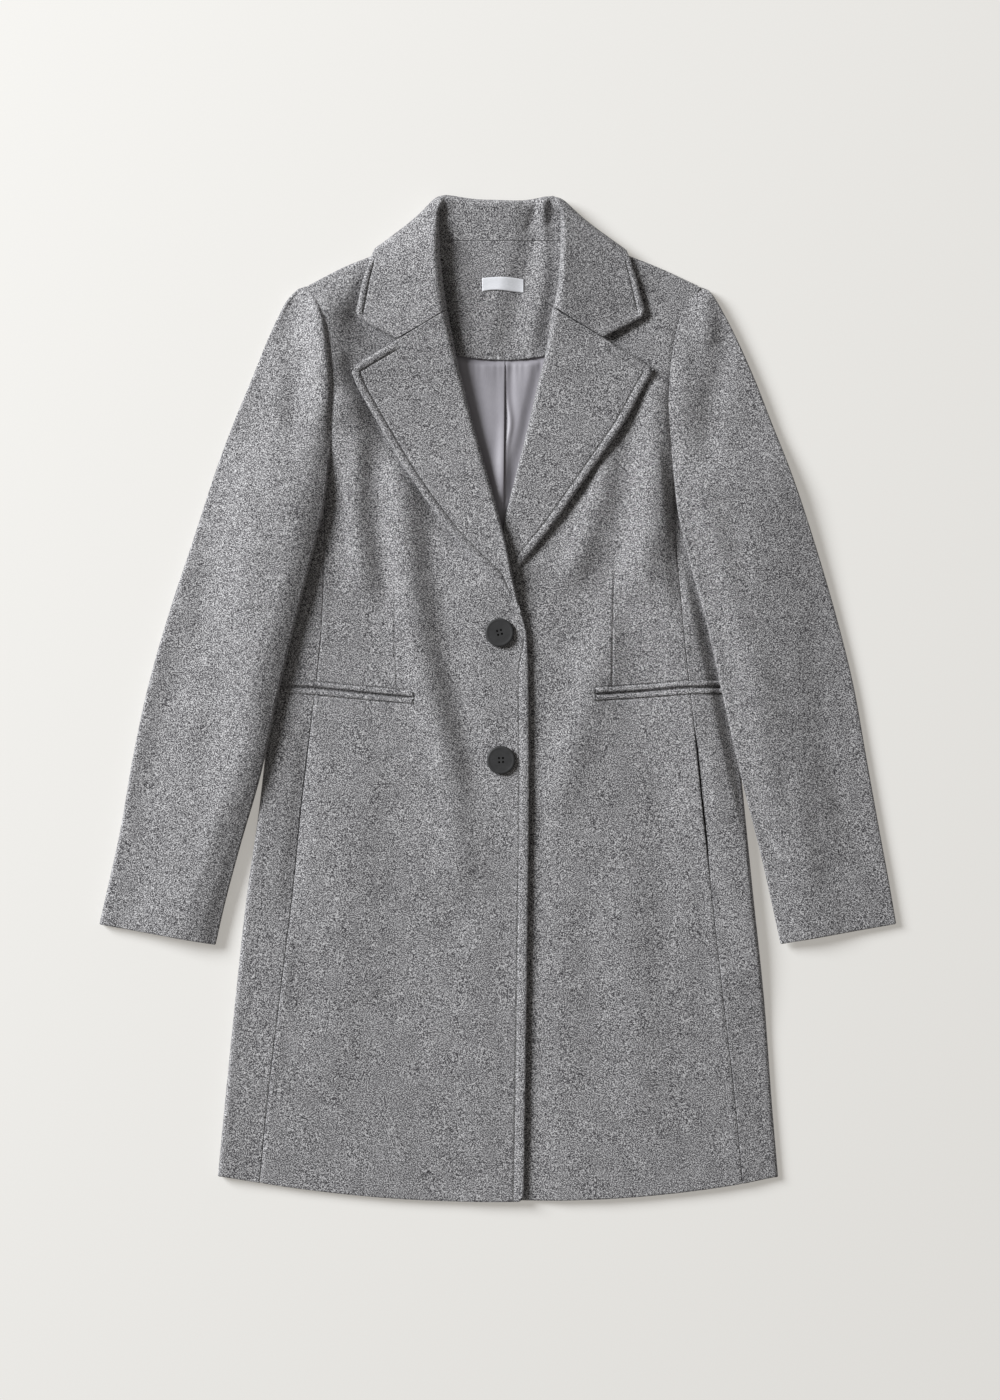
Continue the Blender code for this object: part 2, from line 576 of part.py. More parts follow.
def stand(across):
    """Grid of the collar stand, from the neck seam over the roll behind the neck."""
    rows = []
    u = np.linspace(-1.0, 1.0, across + 1)
    hollow = 0.8 * u**2
    radius = facing_top(0.0, 430.0) / 2.0
    for f in np.linspace(0.0, 1.0, 4):
        half = 62.0 - 14.0 * f
        y = NECK_Y + SEAM + f * (COLLAR_TOP - radius - NECK_Y - SEAM) + hollow * f
        rows.append(np.column_stack([CENTRE_X + u * half, y, facing_top(0.0, 430.0) + 0.0 * u]))
    edge = np.column_stack([rows[-1][:, 0], COLLAR_TOP + hollow])
    return np.array(rows + turned(rows[-1], edge, 0.0, math.radians(80.0), 4))


def neck_facing(across, count):
    u = np.linspace(-1.0, 1.0, across + 1)
    rows = []
    for f in np.linspace(0.0, 1.0, count + 1):
        low = 322.0 + 10.0 * u**2
        y = NECK_Y + (low - NECK_Y) * f
        half = FACING_HALF[0] + FACING_HALF[1] * step(0.35, 1.0, f)
        rows.append(np.column_stack([CENTRE_X + u * half, y]))
    return flat_piece(rows, facing_top)


def lining(count):
    """Grid of the back lining below the facing, with a pleat at its centre line."""
    pleat = 4.8
    u = np.array([-1.0, -0.66, -0.36, -0.16, -0.05, 0.05, 0.16, 0.36, 0.66, 1.0])
    rows = []
    for f in np.linspace(0.0, 1.0, count + 1):
        half = 58.0 - 38.0 * f
        x = pleat - 1.5 * f + np.where(np.abs(u) < 0.1, u * 14.0, u * half)
        top = 322.0 + 10.0 * ((x - CENTRE_X) / 70.0) ** 2 - 0.4
        rows.append(np.column_stack([x, top + (140.0 - top) * f]))
    grid = flat_piece(rows, lambda x, y: WOOL + 0.4 + SATIN + 0.0 * x)
    down = np.linspace(0.0, 1.0, count + 1)
    over = step(0.0, 0.2, down) * (1.0 - step(0.5, 0.75, down))
    grid[:, 3:5, 2] += 0.9 * over[:, None]
    return grid


def label(across):
    """Grid of the bare neck label on the facing."""
    x = np.linspace(LABEL_X[0], LABEL_X[1], across + 1)
    bow = 1.2 - 0.004 * (x - CENTRE_X) ** 2
    rows = [np.column_stack([x, y + bow]) for y in LABEL_Y]
    return flat_piece(rows, lambda x, y: facing_top(x, y) + 0.4 + WOVEN)


def welt(side, above):
    """Grid of one pocket welt on the front and the side panel."""
    mouth = along(POCKET[side], np.linspace(0.0, 1.0, 13))
    near = SLIT / 2.0
    rows = []
    for off in (near, near + WELT) if above else (-near - WELT, -near):
        rows.append(mouth + np.array([0.0, off]))
    return flat_piece(rows, lambda x, y: body_top(side, x, y) + WELT_GAP + WELT_WALL)


def button(name, centre):
    """Round button with a rim and four holes, lying on the right front."""
    a = np.linspace(0.0, 2.0 * math.pi, 25)[:-1]
    near = [(centre[0] + r * np.cos(a), centre[1] + r * np.sin(a)) for r in (4.0, 9.0, BUTTON_D / 2.0)]
    base = max(float(body_top("right", x, y).max()) for x, y in near) + 0.45
    rings = [(r * BUTTON_D / 2.0, base + h * BUTTON_T) for r, h in BUTTON_SECTION]
    points = [(*centre, rings[0][1])]
    for r, z in rings[1:-1]:
        points += [(centre[0] + r * math.cos(t), centre[1] + r * math.sin(t), z) for t in a]
    points.append((*centre, rings[-1][1]))
    n = len(a)
    last = len(points) - 1
    faces = [(0, 1 + (k + 1) % n, 1 + k) for k in range(n)]
    for ring in range(len(rings) - 3):
        one = 1 + ring * n
        for k in range(n):
            faces.append((one + k, one + (k + 1) % n, one + n + (k + 1) % n, one + n + k))
    one = last - n
    faces += [(one + k, one + (k + 1) % n, last) for k in range(n)]
    disc = add(name, points, faces, BUTTON_GREY)
    points, faces = [], []
    for sx, sy in ((1, 1), (1, -1), (-1, -1), (-1, 1)):
        x, y = centre[0] + sx * HOLE_AT, centre[1] + sy * HOLE_AT
        one = len(points)
        for z in (base - 2.0, base + BUTTON_T + 2.0):
            for k in range(10):
                t = 2.0 * math.pi * k / 10.0
                points.append((x + HOLE_D / 2.0 * math.cos(t), y + HOLE_D / 2.0 * math.sin(t), z))
        faces.append(tuple(range(one + 9, one - 1, -1)))
        faces.append(tuple(range(one + 10, one + 20)))
        for k in range(10):
            faces.append((one + k, one + (k + 1) % 10, one + 10 + (k + 1) % 10, one + 10 + k))
    drill = add(name + "_drill", points, faces, BUTTON_GREY)
    drill.hide_render = True
    drill.display_type = "WIRE"
    holes = disc.modifiers.new("holes", "BOOLEAN")
    holes.operation = "DIFFERENCE"
    holes.solver = "EXACT"
    holes.object = drill


# Rows of a front from the hem to the underarm, close together at the break of the lapel
LOW_ROWS = (
    0.0, 0.08, 0.16, 0.25, 0.34, 0.43, 0.52, 0.6, 0.67, 0.73,
    0.78, 0.82, 0.845, 0.866, 0.885, 0.91, 0.94, 0.97, 1.0,
)
CAP = 9
ARM = 9
back_lines = {}
for name, sign in SIGN.items():
    grid, seam_line = front(name, 9, LOW_ROWS, CAP)
    panel(name + "_front", grid, WOOL, -sign)
    grid, back_lines[name] = side_panel(name, seam_line, 3)
    panel(name + "_side_panel", grid, WOOL, -sign)
    upper_grid, under_grid = sleeve(name, 6, CAP, ARM)
    panel(name + "_upper_sleeve", upper_grid, WOOL, sign)
    panel(name + "_under_sleeve", under_grid, WOOL, -sign)
    panel(name + "_lapel", lapel(name, 6, 12), WOOL, sign)
    panel(name + "_pocket_upper_welt", welt(name, True), WELT_WALL, -sign)
    panel(name + "_pocket_lower_welt", welt(name, False), WELT_WALL, -sign)

panel("back", back(back_lines["right"], back_lines["left"], 8, CAP), WOOL, 1.0)
halves = {side: collar_half(side, 6, 7) for side in SIGN}
panel("collar", np.array(halves["right"] + halves["left"][-2::-1]), WOOL, 1.0)
panel("collar_stand", stand(8), WOOL, -1.0)
panel("back_neck_facing", neck_facing(8, 6), WOOL, 1.0)
panel("back_lining", lining(8), SATIN, 1.0, LINING_GREY)
panel("label", label(6), WOVEN, 1.0, LABEL_WHITE)
for name, centre in BUTTON_AT.items():
    button(name, centre)
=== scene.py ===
"""Looks of the grey wool overcoat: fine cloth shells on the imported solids, sewing, materials, light and camera.

Lengths in the tables are millimetres, as in the part's source.
+X goes to the wearer's left, +Y to the collar, +Z up.
"""
import math

import bpy
import numpy as np
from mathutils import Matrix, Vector


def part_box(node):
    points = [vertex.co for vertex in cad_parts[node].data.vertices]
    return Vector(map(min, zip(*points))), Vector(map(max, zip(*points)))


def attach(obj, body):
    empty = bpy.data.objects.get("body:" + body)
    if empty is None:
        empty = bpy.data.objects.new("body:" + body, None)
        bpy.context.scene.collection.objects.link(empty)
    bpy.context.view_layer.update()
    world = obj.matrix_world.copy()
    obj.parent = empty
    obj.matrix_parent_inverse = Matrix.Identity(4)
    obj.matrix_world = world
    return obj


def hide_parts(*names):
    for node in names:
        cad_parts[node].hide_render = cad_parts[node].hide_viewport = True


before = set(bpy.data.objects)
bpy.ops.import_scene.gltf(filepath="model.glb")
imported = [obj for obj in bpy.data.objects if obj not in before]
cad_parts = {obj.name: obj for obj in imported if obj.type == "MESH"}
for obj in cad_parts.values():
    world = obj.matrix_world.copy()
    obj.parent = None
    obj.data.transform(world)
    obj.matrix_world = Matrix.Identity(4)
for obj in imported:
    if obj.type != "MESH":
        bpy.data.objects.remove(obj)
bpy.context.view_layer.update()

MM = 0.001
WOOL = 2.4
SEAM = 0.3  # gap at a seam
BODY_TOP = 8.2  # outside of the fronts without folds
LOWEST = 5.5  # outside of a front over the cloth below it
SIDE_UNDER = 34
SHOULDER_UNDER = 6
SLEEVE_TOP = 10.5
SLEEVE_UNDER = 22
ARMHOLE_GAP = 0.5
TUCK = 3.5  # front and back run on under the sleeve and the collar stand
ROLL_GAP = 3.2  # from the inside of a roll line to the front's edge under it
HIND_GAP = 0.3  # between upper and under sleeve behind
PRESS = 2.4  # reach of the pressed inner sleeve edges
OUTER_PRESS = {"right": 3.2, "left": 1.6}  # of the outer ones
THINNER = {"right": 0, "left": 2.6}  # sleeve below its cap, against the cap
SQUEEZE = {"right": 0.75, "left": 0.66}  # reach of a roll line over its radius
OVER_BODY = {"right": 10.5, "left": 9.6}  # height of a sleeve's underside on the body
LAP_RISE = 1.6
LAP_DROP = 3.2
BREAK_RISE = 6.5
COLLAR_LIFT = 3.1
NECK_Y = 434.9
COLLAR_TOP = 473.8
COLLAR_HEM = 405.4
CENTRE_X = 2
FACING_GAP = 0.6
FACING_HALF = (57.5, -16)
LABEL_X = (-14.8, 24.8)
LABEL_Y = (399, 386.4)
WELT = 5.2
SLIT = 1.2
BUTTON_D = 27
BUTTON_T = 3.4
BUTTON_AT = {"button_upper": (1.6, 62.9, 15), "button_lower": (3, -58.2, 2)}
HOLE_AT = 1.9
HOLE_D = 2.2
SIGN = {"right": -1, "left": 1}
WELT_WALL = 1.4
LINING_WALL = 0.3
LABEL_WALL = 0.5
EDGE_WALL = {"front": 0.9, "lapel": 2.2, "collar": 2}  # more cloth in the sewn edges
GROOVE_HALF = 0.75  # half width of the groove that a seam draws
UNDERARM_DIP = 4.6
GORGE_OPEN = (46, 49)  # from the lapel's edge to where the gorge is sewn
HEAD_LOW = 3.2  # top of a sleeve head at its first row
FACING_LOW = 322
WING_Z = (10.4, 2.4)  # height of stand and facing at the sides of the neck, and what the right side adds

# Front edge below the lapel: y, x
FRONT_EDGE = {
    "right": (
        (-477.69, 24.8), (-390, 26.1), (-286, 27.7), (-191, 29), (-96, 30),
        (-20, 29.8), (32, 29.3), (50, 28.7), (61.5, 27.6), (72, 25), (84, 20.8), (95, 16.6),
    ),
    "left": (
        (-475.2, -25.5), (-286, -25.5), (-96, -25), (32, -24.6), (61.5, -23.6), (88, -17),
    ),
}
HEM_SAG = {"right": 6, "left": 7.4}

# Seam of front and side panel: y, x
SIDE_SEAM = {
    "right": (
        (-460, -226.4), (-381, -218.8), (-286, -207.4), (-191, -195.8), (-96, -186.1),
        (-22, -177.2), (29, -170.9), (61, -168), (94, -166.5), (132, -165.5), (174.6, -164.7),
    ),
    "left": (
        (-461, 232.9), (-381, 225.5), (-286, 214.4), (-191, 203.7), (-96, 193.3),
        (-22, 185.8), (29, 180), (61, 176.8), (94, 174), (132, 170.7), (174.6, 168.7),
    ),
}

# Fold at the side of the body: y, right x, left x
SIDE_FOLD = (
    (-454, -266.3, 266.6), (-390.7, -260.2, 261.2), (-286.2, -249.7, 253.3), (-191.2, -239.3, 243.2),
    (-96.2, -226, 233.8), (-39.2, -220.3, 228.6), (8.3, -219.8, 227.2), (55.8, -219.3, 226.7),
    (93.8, -221.2, 228.1), (131.8, -225, 231.9), (188.8, -229.8, 236.7),
)

# Shoulder fold, from the neck to the armhole: x, y
SHOULDER = {
    "right": ((-66, 442), (-117.7, 421.5), (-150, 408.7), (-179, 393.6)),
    "left": ((69, 442), (123.6, 421.2), (155.9, 408.7), (190, 392.9)),
}

# Sleeve from shoulder to cuff: inner x, inner y, outer x, outer y
SLEEVE = {
    "right": (
        (-179.8, 393.2, -188.9, 391), (-170.9, 377.5, -200.3, 379.3), (-163.7, 361.7, -209.3, 362.7),
        (-158.5, 331.3, -219.8, 339.9), (-155.7, 293.3, -234, 304.7), (-156.1, 260.1, -248.3, 270.5),
        (-159.9, 223, -263, 231.6), (-164.6, 181.2, -278.2, 186.9), (-175.6, 135.6, -292.5, 143.2),
        (-191.3, 73.9, -311.9, 84.3), (-207.9, 4.5, -331.4, 16.9), (-225, -73.4, -347.6, -58.2),
        (-245, -141.8, -359.4, -126.6), (-258.3, -191.2, -369.4, -172.2), (-268.2, -233.9, -379, -214.3),
    ),
    "left": (
        (190.7, 392.4, 199.6, 389.6), (180.6, 379.8, 205.8, 381.7), (173, 362.7, 216.3, 363.6),
        (165.9, 331.3, 230.5, 335.1), (162.4, 295.2, 246.2, 299), (161.6, 260.1, 259.5, 264.8),
        (165.9, 223, 273.7, 228.7), (170.2, 181.2, 288.5, 186.9), (180.6, 135.6, 302.7, 143.2),
        (197.3, 73.9, 320.3, 84.3), (212.9, 4.5, 337.4, 16.9), (230.5, -73.4, 351, -58.2),
        (248.1, -141.8, 363.3, -126.6), (259.5, -191.2, 372.1, -174.1), (268.6, -233.2, 379, -214.1),
    ),
}
CAP_ROWS = 7

# Lapel from gorge to break: roll x, roll y, edge x, edge y, roll radius, lift of the edge off the front,
# share of the wall
LAPEL = {
    "right": (
        (-47.7, 367.8, -139.9, 313.6, 9.9, 3, 1), (-39.8, 328.5, -133.8, 296.2, 7.8, 2.6, 1),
        (-30.3, 288.9, -115.8, 263.9, 6.2, 2.3, 1), (-19.2, 246.4, -91.1, 222.1, 5.4, 2.6, 1),
        (-8.4, 208.8, -67.3, 186.9, 4.8, 3, 1), (1.1, 173.9, -40.7, 152.7, 4.4, 3.1, 1),
        (7.7, 147, -17, 128, 3.9, 2.6, 1), (13.1, 120.4, 1.1, 110, 3.3, 1.2, 0.85),
        (17.9, 98, 11.9, 94, 2.4, -1.2, 0.5), (22.2, 80, 19.4, 79.4, 1.5, -2.6, 0.35),
    ),
    "left": (
        (51.8, 370.6, 149.7, 312.7, 8, 2.2, 1), (45.3, 328.5, 137.9, 293.3, 7, 2.4, 1),
        (38.1, 300, 121.7, 263.9, 6.3, 3, 1), (28.6, 259.1, 99.9, 231.6, 5.5, 3, 1),
        (19.1, 221.1, 75.2, 196.4, 4.8, 3, 1), (9.6, 183.1, 48.6, 159.4, 3.8, 2.6, 1),
        (3, 155.6, 26.7, 132.8, 2.9, 1.6, 0.95), (-3.7, 129.9, 8.7, 111.9, 2.4, 0.4, 0.8),
    ),
}

# Collar leaf from gorge to shoulder fold: roll x, roll y, edge x, edge y, roll z, edge z, roll radius, angle
COLLAR = {
    "right": (
        (-47.8, 368, -136.2, 361.7, 26.4, 14.4, 9.6, 180),
        (-51.6, 394, -132.2, 379.5, 29.2, 17, 9.6, 180),
        (-54.3, 418.7, -128.1, 396.9, 30, 19.2, 9.3, 170),
        (-55.4, 442, -124.2, 409.5, 28.6, 18.6, 8.4, 145),
        (-47.8, 478.2, -117.7, 427.3, 22.5, 16.6, 6.6, 105),
    ),
    "left": (
        (52.9, 370.8, 141.4, 363.6, 22, 13, 8.2, 180),
        (57, 394, 136.8, 380.5, 24.8, 14.6, 8.1, 180),
        (58.8, 418.7, 132.2, 397.8, 26, 15.6, 8, 170),
        (59.4, 442, 128.6, 408.5, 25, 16.2, 7.4, 145),
        (50.6, 477.4, 122.7, 426, 19, 16.4, 6, 105),
    ),
}
# Roll where the leaf begins to turn over the neck, and height of the hump there
TURNING = {"right": (-55.6, 461.5, 4.5), "left": (59.8, 461, 3.8)}
# Top edge of the collar between the humps: x, y
COLLAR_EDGE = (
    (-60, 474.2), (-50.2, 478.4), (-46, 478.3), (-35, 476.6), (-21.7, 474.8), (0, 473.9),
    (24.8, 473.8), (38.1, 475.7), (48, 477.3), (52.6, 477.3), (64, 472.4),
)
NOTCH = {"right": (-95.8, 341.2), "left": (100.4, 342.6)}

# Soft folds of the fronts: half width, height, points x, y along the crest
FOLDS = (
    (25, 5.2, ((-170, 398), (-166, 372), (-163, 350), (-158, 318), (-154, 286))),
    (19, 7.6, (
        (-99, 240), (-93, 200), (-91, 180), (-87, 132), (-82, 93), (-76, 55),
        (-66, 15), (-59, -20), (-47, -58), (-43, -84),
    )),
    (19, 4, ((-54, -35), (-47, -58), (-41, -96), (-40, -144), (-43, -200))),
    (29, 7.6, ((-176, 400), (-166, 355), (-161, 315), (-156, 280), (-152, 245))),
    (13, 3, ((-156, 305), (-156, 262), (-158, 225), (-162, 185))),
    (15, 6.2, (
        (-147, 315), (-141, 285), (-135, 255), (-134, 227), (-135, 198), (-135, 170),
        (-129, 132), (-120, 85),
    )),
    (16, 4.9, ((151, 330), (150, 285), (149, 228), (147, 170), (139, 132), (131, 85))),
    (14, 5.4, (
        (104, 272), (97, 230), (97, 198), (89, 170), (78, 138), (66, 112), (56, 90),
    )),
    (21, 3.4, ((112, 96), (102, 56), (88, 5), (66, -60), (54, -120))),
    (26, 1.6, ((-140, -90), (-168, -400))),
    (28, 2, ((120, -140), (140, -420))),
)
# Shallower creases between them
CREASES = (
    (13, -2.6, ((-119, 262), (-116, 200), (-108, 140), (-98, 60))),
    (13, -2.4, ((-66, 200), (-60, 120), (-50, 40), (-34, -20), (-24, -70), (-18, -140))),
    (12, -2.4, ((126, 262), (123, 198), (117, 150), (104, 100))),
    (9, -2.4, ((-179, -10), (-185, -80), (-192, -150), (-200, -230))),
    (22, -1.2, ((-92, -40), (-104, -330))),
    (24, 1.2, ((-40, -230), (-36, -430))),
    (22, -1.2, ((82, -170), (96, -410))),
    (16, 1.2, ((172, -60), (188, -300))),
    (16, -2.4, ((-118, 366), (-104, 345), (-92, 322))),
    (20, 1.4, ((-206, -190), (-226, -400))),
    (18, -1, ((150, -40), (162, -260))),
)
# Dips under the edges of lapels and collar
DIPS = (
    (8, -3.4, (
        (-148, 330), (-138.5, 312.4), (-131.3, 297.2), (-113.3, 264.7), (-88.6, 222.9), (-64.4, 187.5),
        (-38.3, 153.2), (-20, 134),
    )),
    (9, -4.2, (
        (-118.5, 424), (-126.5, 396.4), (-131, 378.8), (-135.6, 360), (-123, 353), (-90, 339),
    )),
    (6, -2.1, ((140, 300), (121.7, 263.9), (99.9, 231.6), (75.2, 196.4), (48.6, 159.4), (20, 126))),
    (6, -2.3, ((126, 424), (132.2, 397.8), (136.8, 380.5), (141.4, 363.6), (124, 356), (98, 342))),
)
SLEEVE_FOLDS = (
    (9, 1.4, ((-172, 384), (-164, 345), (-161, 290), (-165, 235))),
    (13, -4.4, ((-191, 396), (-194, 348), (-194, 300), (-192, 225))),
    (12, 2.6, ((199, 390), (200, 330))),
    (13, -3.4, ((216, 376), (214, 341), (212, 312), (203, 284), (199, 246), (198, 205))),
    (9, 2.4, ((179, 350), (173, 300), (171, 255), (177, 205))),
    (15, 1.6, ((-250, 120), (-300, -60))),
    (9, -2, ((-300, -270), (-286, -206), (-268, -150), (-244, -90))),
    (12, -1.4, ((-208, 150), (-232, 40))),
    (14, -1.6, ((-300, 60), (-326, -40), (-344, -150))),
    (11, -1.4, ((216, 190), (238, 90))),
    (13, 1.2, ((236, 60), (262, -40))),
    (12, -1.2, ((300, 20), (334, -140))),
    (10, 1.2, ((280, -60), (300, -190))),
)
SLEEVE_CROWN = {"right": 6.6, "left": 1}
CAP_CROWN = {"right": 4, "left": 0.8}
CAP_EDGE = {"right": 2.6, "left": 0.4}
OUTER_DROP = {"right": 4, "left": 0.4}  # more fall towards the outer edge, of the right head and the left arm
OUTER_FROM = {"right": 0.5, "left": 0.25}  # share of the width where that fall begins
EDGE_DROP = {"right": 6, "left": 3.6}  # fall of the free sleeve towards its inner edge
SWELL = 6.4  # of the body beside the left sleeve
HELD_LESS = {"right": 0.22, "left": 0.4}  # share of OVER_BODY lost towards the cuff
REST_OVER = {"right": 60, "left": 116}  # way of a sleeve down from the body to the surface
# Folds of the collar stand and of the lining: half width, height, points x, y
STAND_FOLDS = (
    (3.6, -1.5, ((38, 478), (33, 458), (25, 436))),
    (3.6, -1.7, ((50, 478), (49.5, 446))),
)
LINING_FOLDS = (
    (10, 1.5, ((-11, 350), (-9.5, 303), (-5.5, 275), (-4, 246), (0, 217), (2, 180))),
)
# Crease down the neck facing: y, x
FACING_FALL = ((318, 350, 379, 417, 450, 462), (0, 4, 10, 20, 29, 31))
# Roll lines beside the open neck: y, x
LEFT_OF_NECK = np.array([row[1::-1] for row in (*LAPEL["right"][6::-1], *COLLAR["right"][1:3])]).T
RIGHT_OF_NECK = (
    (155, 183, 221, 259, 300, 325, 347, 367, 391, 418),
    (3, 9.6, 19, 28.6, 38, 44.8, 47.6, 52, 55.8, 58.6),
)
# Dart of a front: y, x
DART = {
    "right": ((-480, -104), (-200, -99), (11.2, -95.8), (55.8, -98.1), (131.8, -97.7), (450, -112)),
    "left": ((-480, 114), (-200, 110), (13.1, 108.4), (55.8, 108.9), (150.8, 111.3), (450, 124)),
}
DART_TOP = {"right": 132, "left": 151}
# Mouth of a pocket from its inner end: x, y
POCKET = {
    "right": ((-80.6, 1.2), (-128, 5.2), (-170, 9.4), (-211, 12.4)),
    "left": ((92.8, 4.4), (140, 7.2), (181, 10.4), (218, 11.4)),
}
RIM = np.array([0, 0.1, 0.28, 0.58])  # shares of a rounded rim
GROOVE = np.array([0, 0.19, 0.31, 0.41, 0.5, 0.59, 0.69, 0.81])  # shares across a sewn line
MID = 4  # place of the line itself in GROOVE


def step(low, high, value):
    t = np.clip((np.asarray(value, float) - low) / (high - low), 0, 1)
    return t * t * (3 - 2 * t)


def fall(low, high, value):
    return 1 - step(low, high, value)


def bell(off, half):
    return np.exp(-((off / half) ** 2))


def spaced(count):
    return np.linspace(0, 1, count)


def blend(a, b, share):
    return a + (b - a) * share


def unit(vectors):
    return vectors / np.maximum(np.linalg.norm(vectors, axis=-1, keepdims=True), 1e-9)


def plan(points):
    return points[..., 0], points[..., 1]


def smooth(stations_, values, at):
    """Smooth curve through values at stations."""
    x = np.asarray(stations_, float)
    y = np.asarray(values, float).reshape(len(x), -1)
    at = np.clip(np.asarray(at, float), x[0], x[-1])
    h = np.diff(x)[:, None]
    slope = np.diff(y, axis=0) / h
    inner = (slope[:-1] * h[1:] + slope[1:] * h[:-1]) / (h[1:] + h[:-1])
    m = np.vstack([slope[:1], inner, slope[-1:]])
    i = np.clip(np.searchsorted(x, at, side="right") - 1, 0, len(h) - 1)
    t = ((at - x[i])[:, None]) / h[i]
    lead = (2 * t**3 - 3 * t**2 + 1) * y[i] + (t**3 - 2 * t**2 + t) * h[i] * m[i]
    return lead + (3 * t**2 - 2 * t**3) * y[i + 1] + (t**3 - t**2) * h[i] * m[i + 1]


def stations(points):
    p = np.asarray(points, float)
    return np.concatenate([[0], np.cumsum(np.linalg.norm(np.diff(p, axis=0), axis=1))])


def along(points, share):
    """Points at shares of the way along a smooth line."""
    s = stations(points)
    return smooth(s, points, np.asarray(share) * s[-1])


def folds(table, x, y, fade=0.25):
    """Height of rounded ridges along the lines of a table, fading at their ends."""
    total = np.zeros(np.broadcast(x, y).shape)
    for half, height, line in table:
        p = np.asarray(line, float)
        s = stations(p)
        nearest = np.full(total.shape, 1e9)
        reach = np.zeros(total.shape)
        for k in range(len(p) - 1):
            d = p[k + 1] - p[k]
            t = np.clip(((x - p[k, 0]) * d[0] + (y - p[k, 1]) * d[1]) / (d @ d), 0, 1)
            off = np.hypot(x - p[k, 0] - t * d[0], y - p[k, 1] - t * d[1])
            closer = off < nearest
            nearest = np.where(closer, off, nearest)
            reach = np.where(closer, (s[k] + t * (s[k + 1] - s[k])) / s[-1], reach)
        share = min(fade, 50 / s[-1])
        ends = step(0, share, reach) * step(0, share, 1 - reach)
        total = total + height * ends * bell(nearest, half)
    return total


WAVES = 14
WAVE_HEIGHT = 0.22


def unevenness(x, y):
    """Small swells of lying cloth, the same at every run."""
    rng = np.random.default_rng(11)
    total = np.zeros(np.broadcast(x, y).shape)
    for _ in range(WAVES):
        pitch = rng.uniform(34, 95)
        turn = rng.uniform(0, math.pi)
        phase = rng.uniform(0, 2 * math.pi)
        total += np.sin((x * math.cos(turn) + y * math.sin(turn)) * 2 * math.pi / pitch + phase)
    return WAVE_HEIGHT * total / math.sqrt(WAVES / 2)


def collar_lift(x, y):
    return COLLAR_LIFT * step(352, 402, y) * fall(125, 165, np.abs(x))


def beside_sleeve(side, x, y):
    if side == "right":
        return np.zeros(np.broadcast(x, y).shape)
    t = np.asarray(SLEEVE[side])[::-1]
    off = np.interp(y, t[:, 1], t[:, 0]) - x
    reach = step(-330, -220, y) * fall(200, 262, y)
    return SWELL * reach * step(0, 14, off) * fall(20, 84, off)


def body_top(side, x, y):
    """Height of a front's outside before its small relief."""
    z = BODY_TOP + folds(FOLDS, x, y) + collar_lift(x, y) + beside_sleeve(side, x, y)
    if side == "right":
        crossing = np.exp(-((x - 5) ** 2 + (y - 128) ** 2) / (2 * 32**2))
        return z + LAP_RISE * step(-45, -10, x) + 1.8 * step(14, 27, x) + BREAK_RISE * crossing
    drop = LAP_DROP - 1.2 * step(95, 135, y)
    middle = 46 + 0.27 * (np.clip(y, -96, 120) + 96)
    return z - drop * fall(-20, 20, x - middle)


def surface(side, x, y):
    """Outside of a front or side panel with all that the lying cloth shows."""
    z = body_top(side, x, y) + folds(CREASES, x, y) + folds(DIPS, x, y, 0.08) + unevenness(x, y)
    return LOWEST + 0.6 * np.logaddexp(0, (z - LOWEST) / 0.6)


def underarm(y):
    return step(60, 110, y) * fall(188, 216, y)


def mouth(side, x):
    """Height y of a pocket's mouth at x."""
    t = np.asarray(POCKET[side])
    order = np.argsort(t[:, 0])
    return np.interp(x, t[order, 0], t[order, 1])


def beside_pocket(side, x, y):
    """Rows of a panel drawn to the slope of the pocket."""
    t = np.asarray(POCKET[side])
    middle = (t[0] + t[-1]) / 2
    lean = 0.037 * SIGN[side] * (x - middle[0])
    return y + (mouth(side, x) - mouth(side, middle[0]) - lean) * bell(y - mouth(side, x), 45)


def pocket_relief(side, x, y):
    """Dips of the panel along the two welts, and the mouth between them."""
    off = y - mouth(side, x)
    within = step(-0.8, 0.6, SIGN[side] * (x - POCKET[side][0][0]))
    rims = -1.2 * bell(np.abs(off) - WELT - SLIT, 0.8)
    return within * (rims - 3.2 * bell(off, 1.5))


def side_fold(side, y):
    t = np.asarray(SIDE_FOLD)
    return smooth(t[:, 0], t[:, 1 if side == "right" else 2], np.ravel(y))[:, 0].reshape(np.shape(y))


def sleeve_rest(side, x, y):
    """Height that a sleeve lies on: over the body, then down to the surface."""
    inside = SIGN[side] * (side_fold(side, y) - x)
    held = 1 - HELD_LESS[side] * step(70, 215, -y)
    return OVER_BODY[side] * held * step(-REST_OVER[side], -1.5, inside) * fall(195, 265, y)


def turned(start, edge, low, angle, steps):
    """Lines of cloth turned from a line round an edge, down to a height."""
    lines = []
    sweep = np.asarray(angle, float) * np.ones(len(start))
    widest = np.sin(np.minimum(sweep, math.pi / 2))
    middle = (start[:, 2] + low) / 2
    radius = (start[:, 2] - low) / 2
    for k in range(1, steps + 1):
        a = sweep * k / steps
        out = (np.sin(a) / widest)[:, None]
        xy = blend(start[:, :2], edge, out)
        lines.append(np.column_stack([xy, middle + radius * np.cos(a)]))
    return lines


def ramp(count):
    return np.arange(count) / count


def lengths(grid, axis):
    """Distance along the grid lines from their first point."""
    d = np.linalg.norm(np.diff(grid, axis=axis), axis=2)
    total = np.cumsum(d, axis=axis)
    first = np.zeros_like(np.take(total, [0], axis=axis))
    return np.concatenate([first, total], axis=axis)


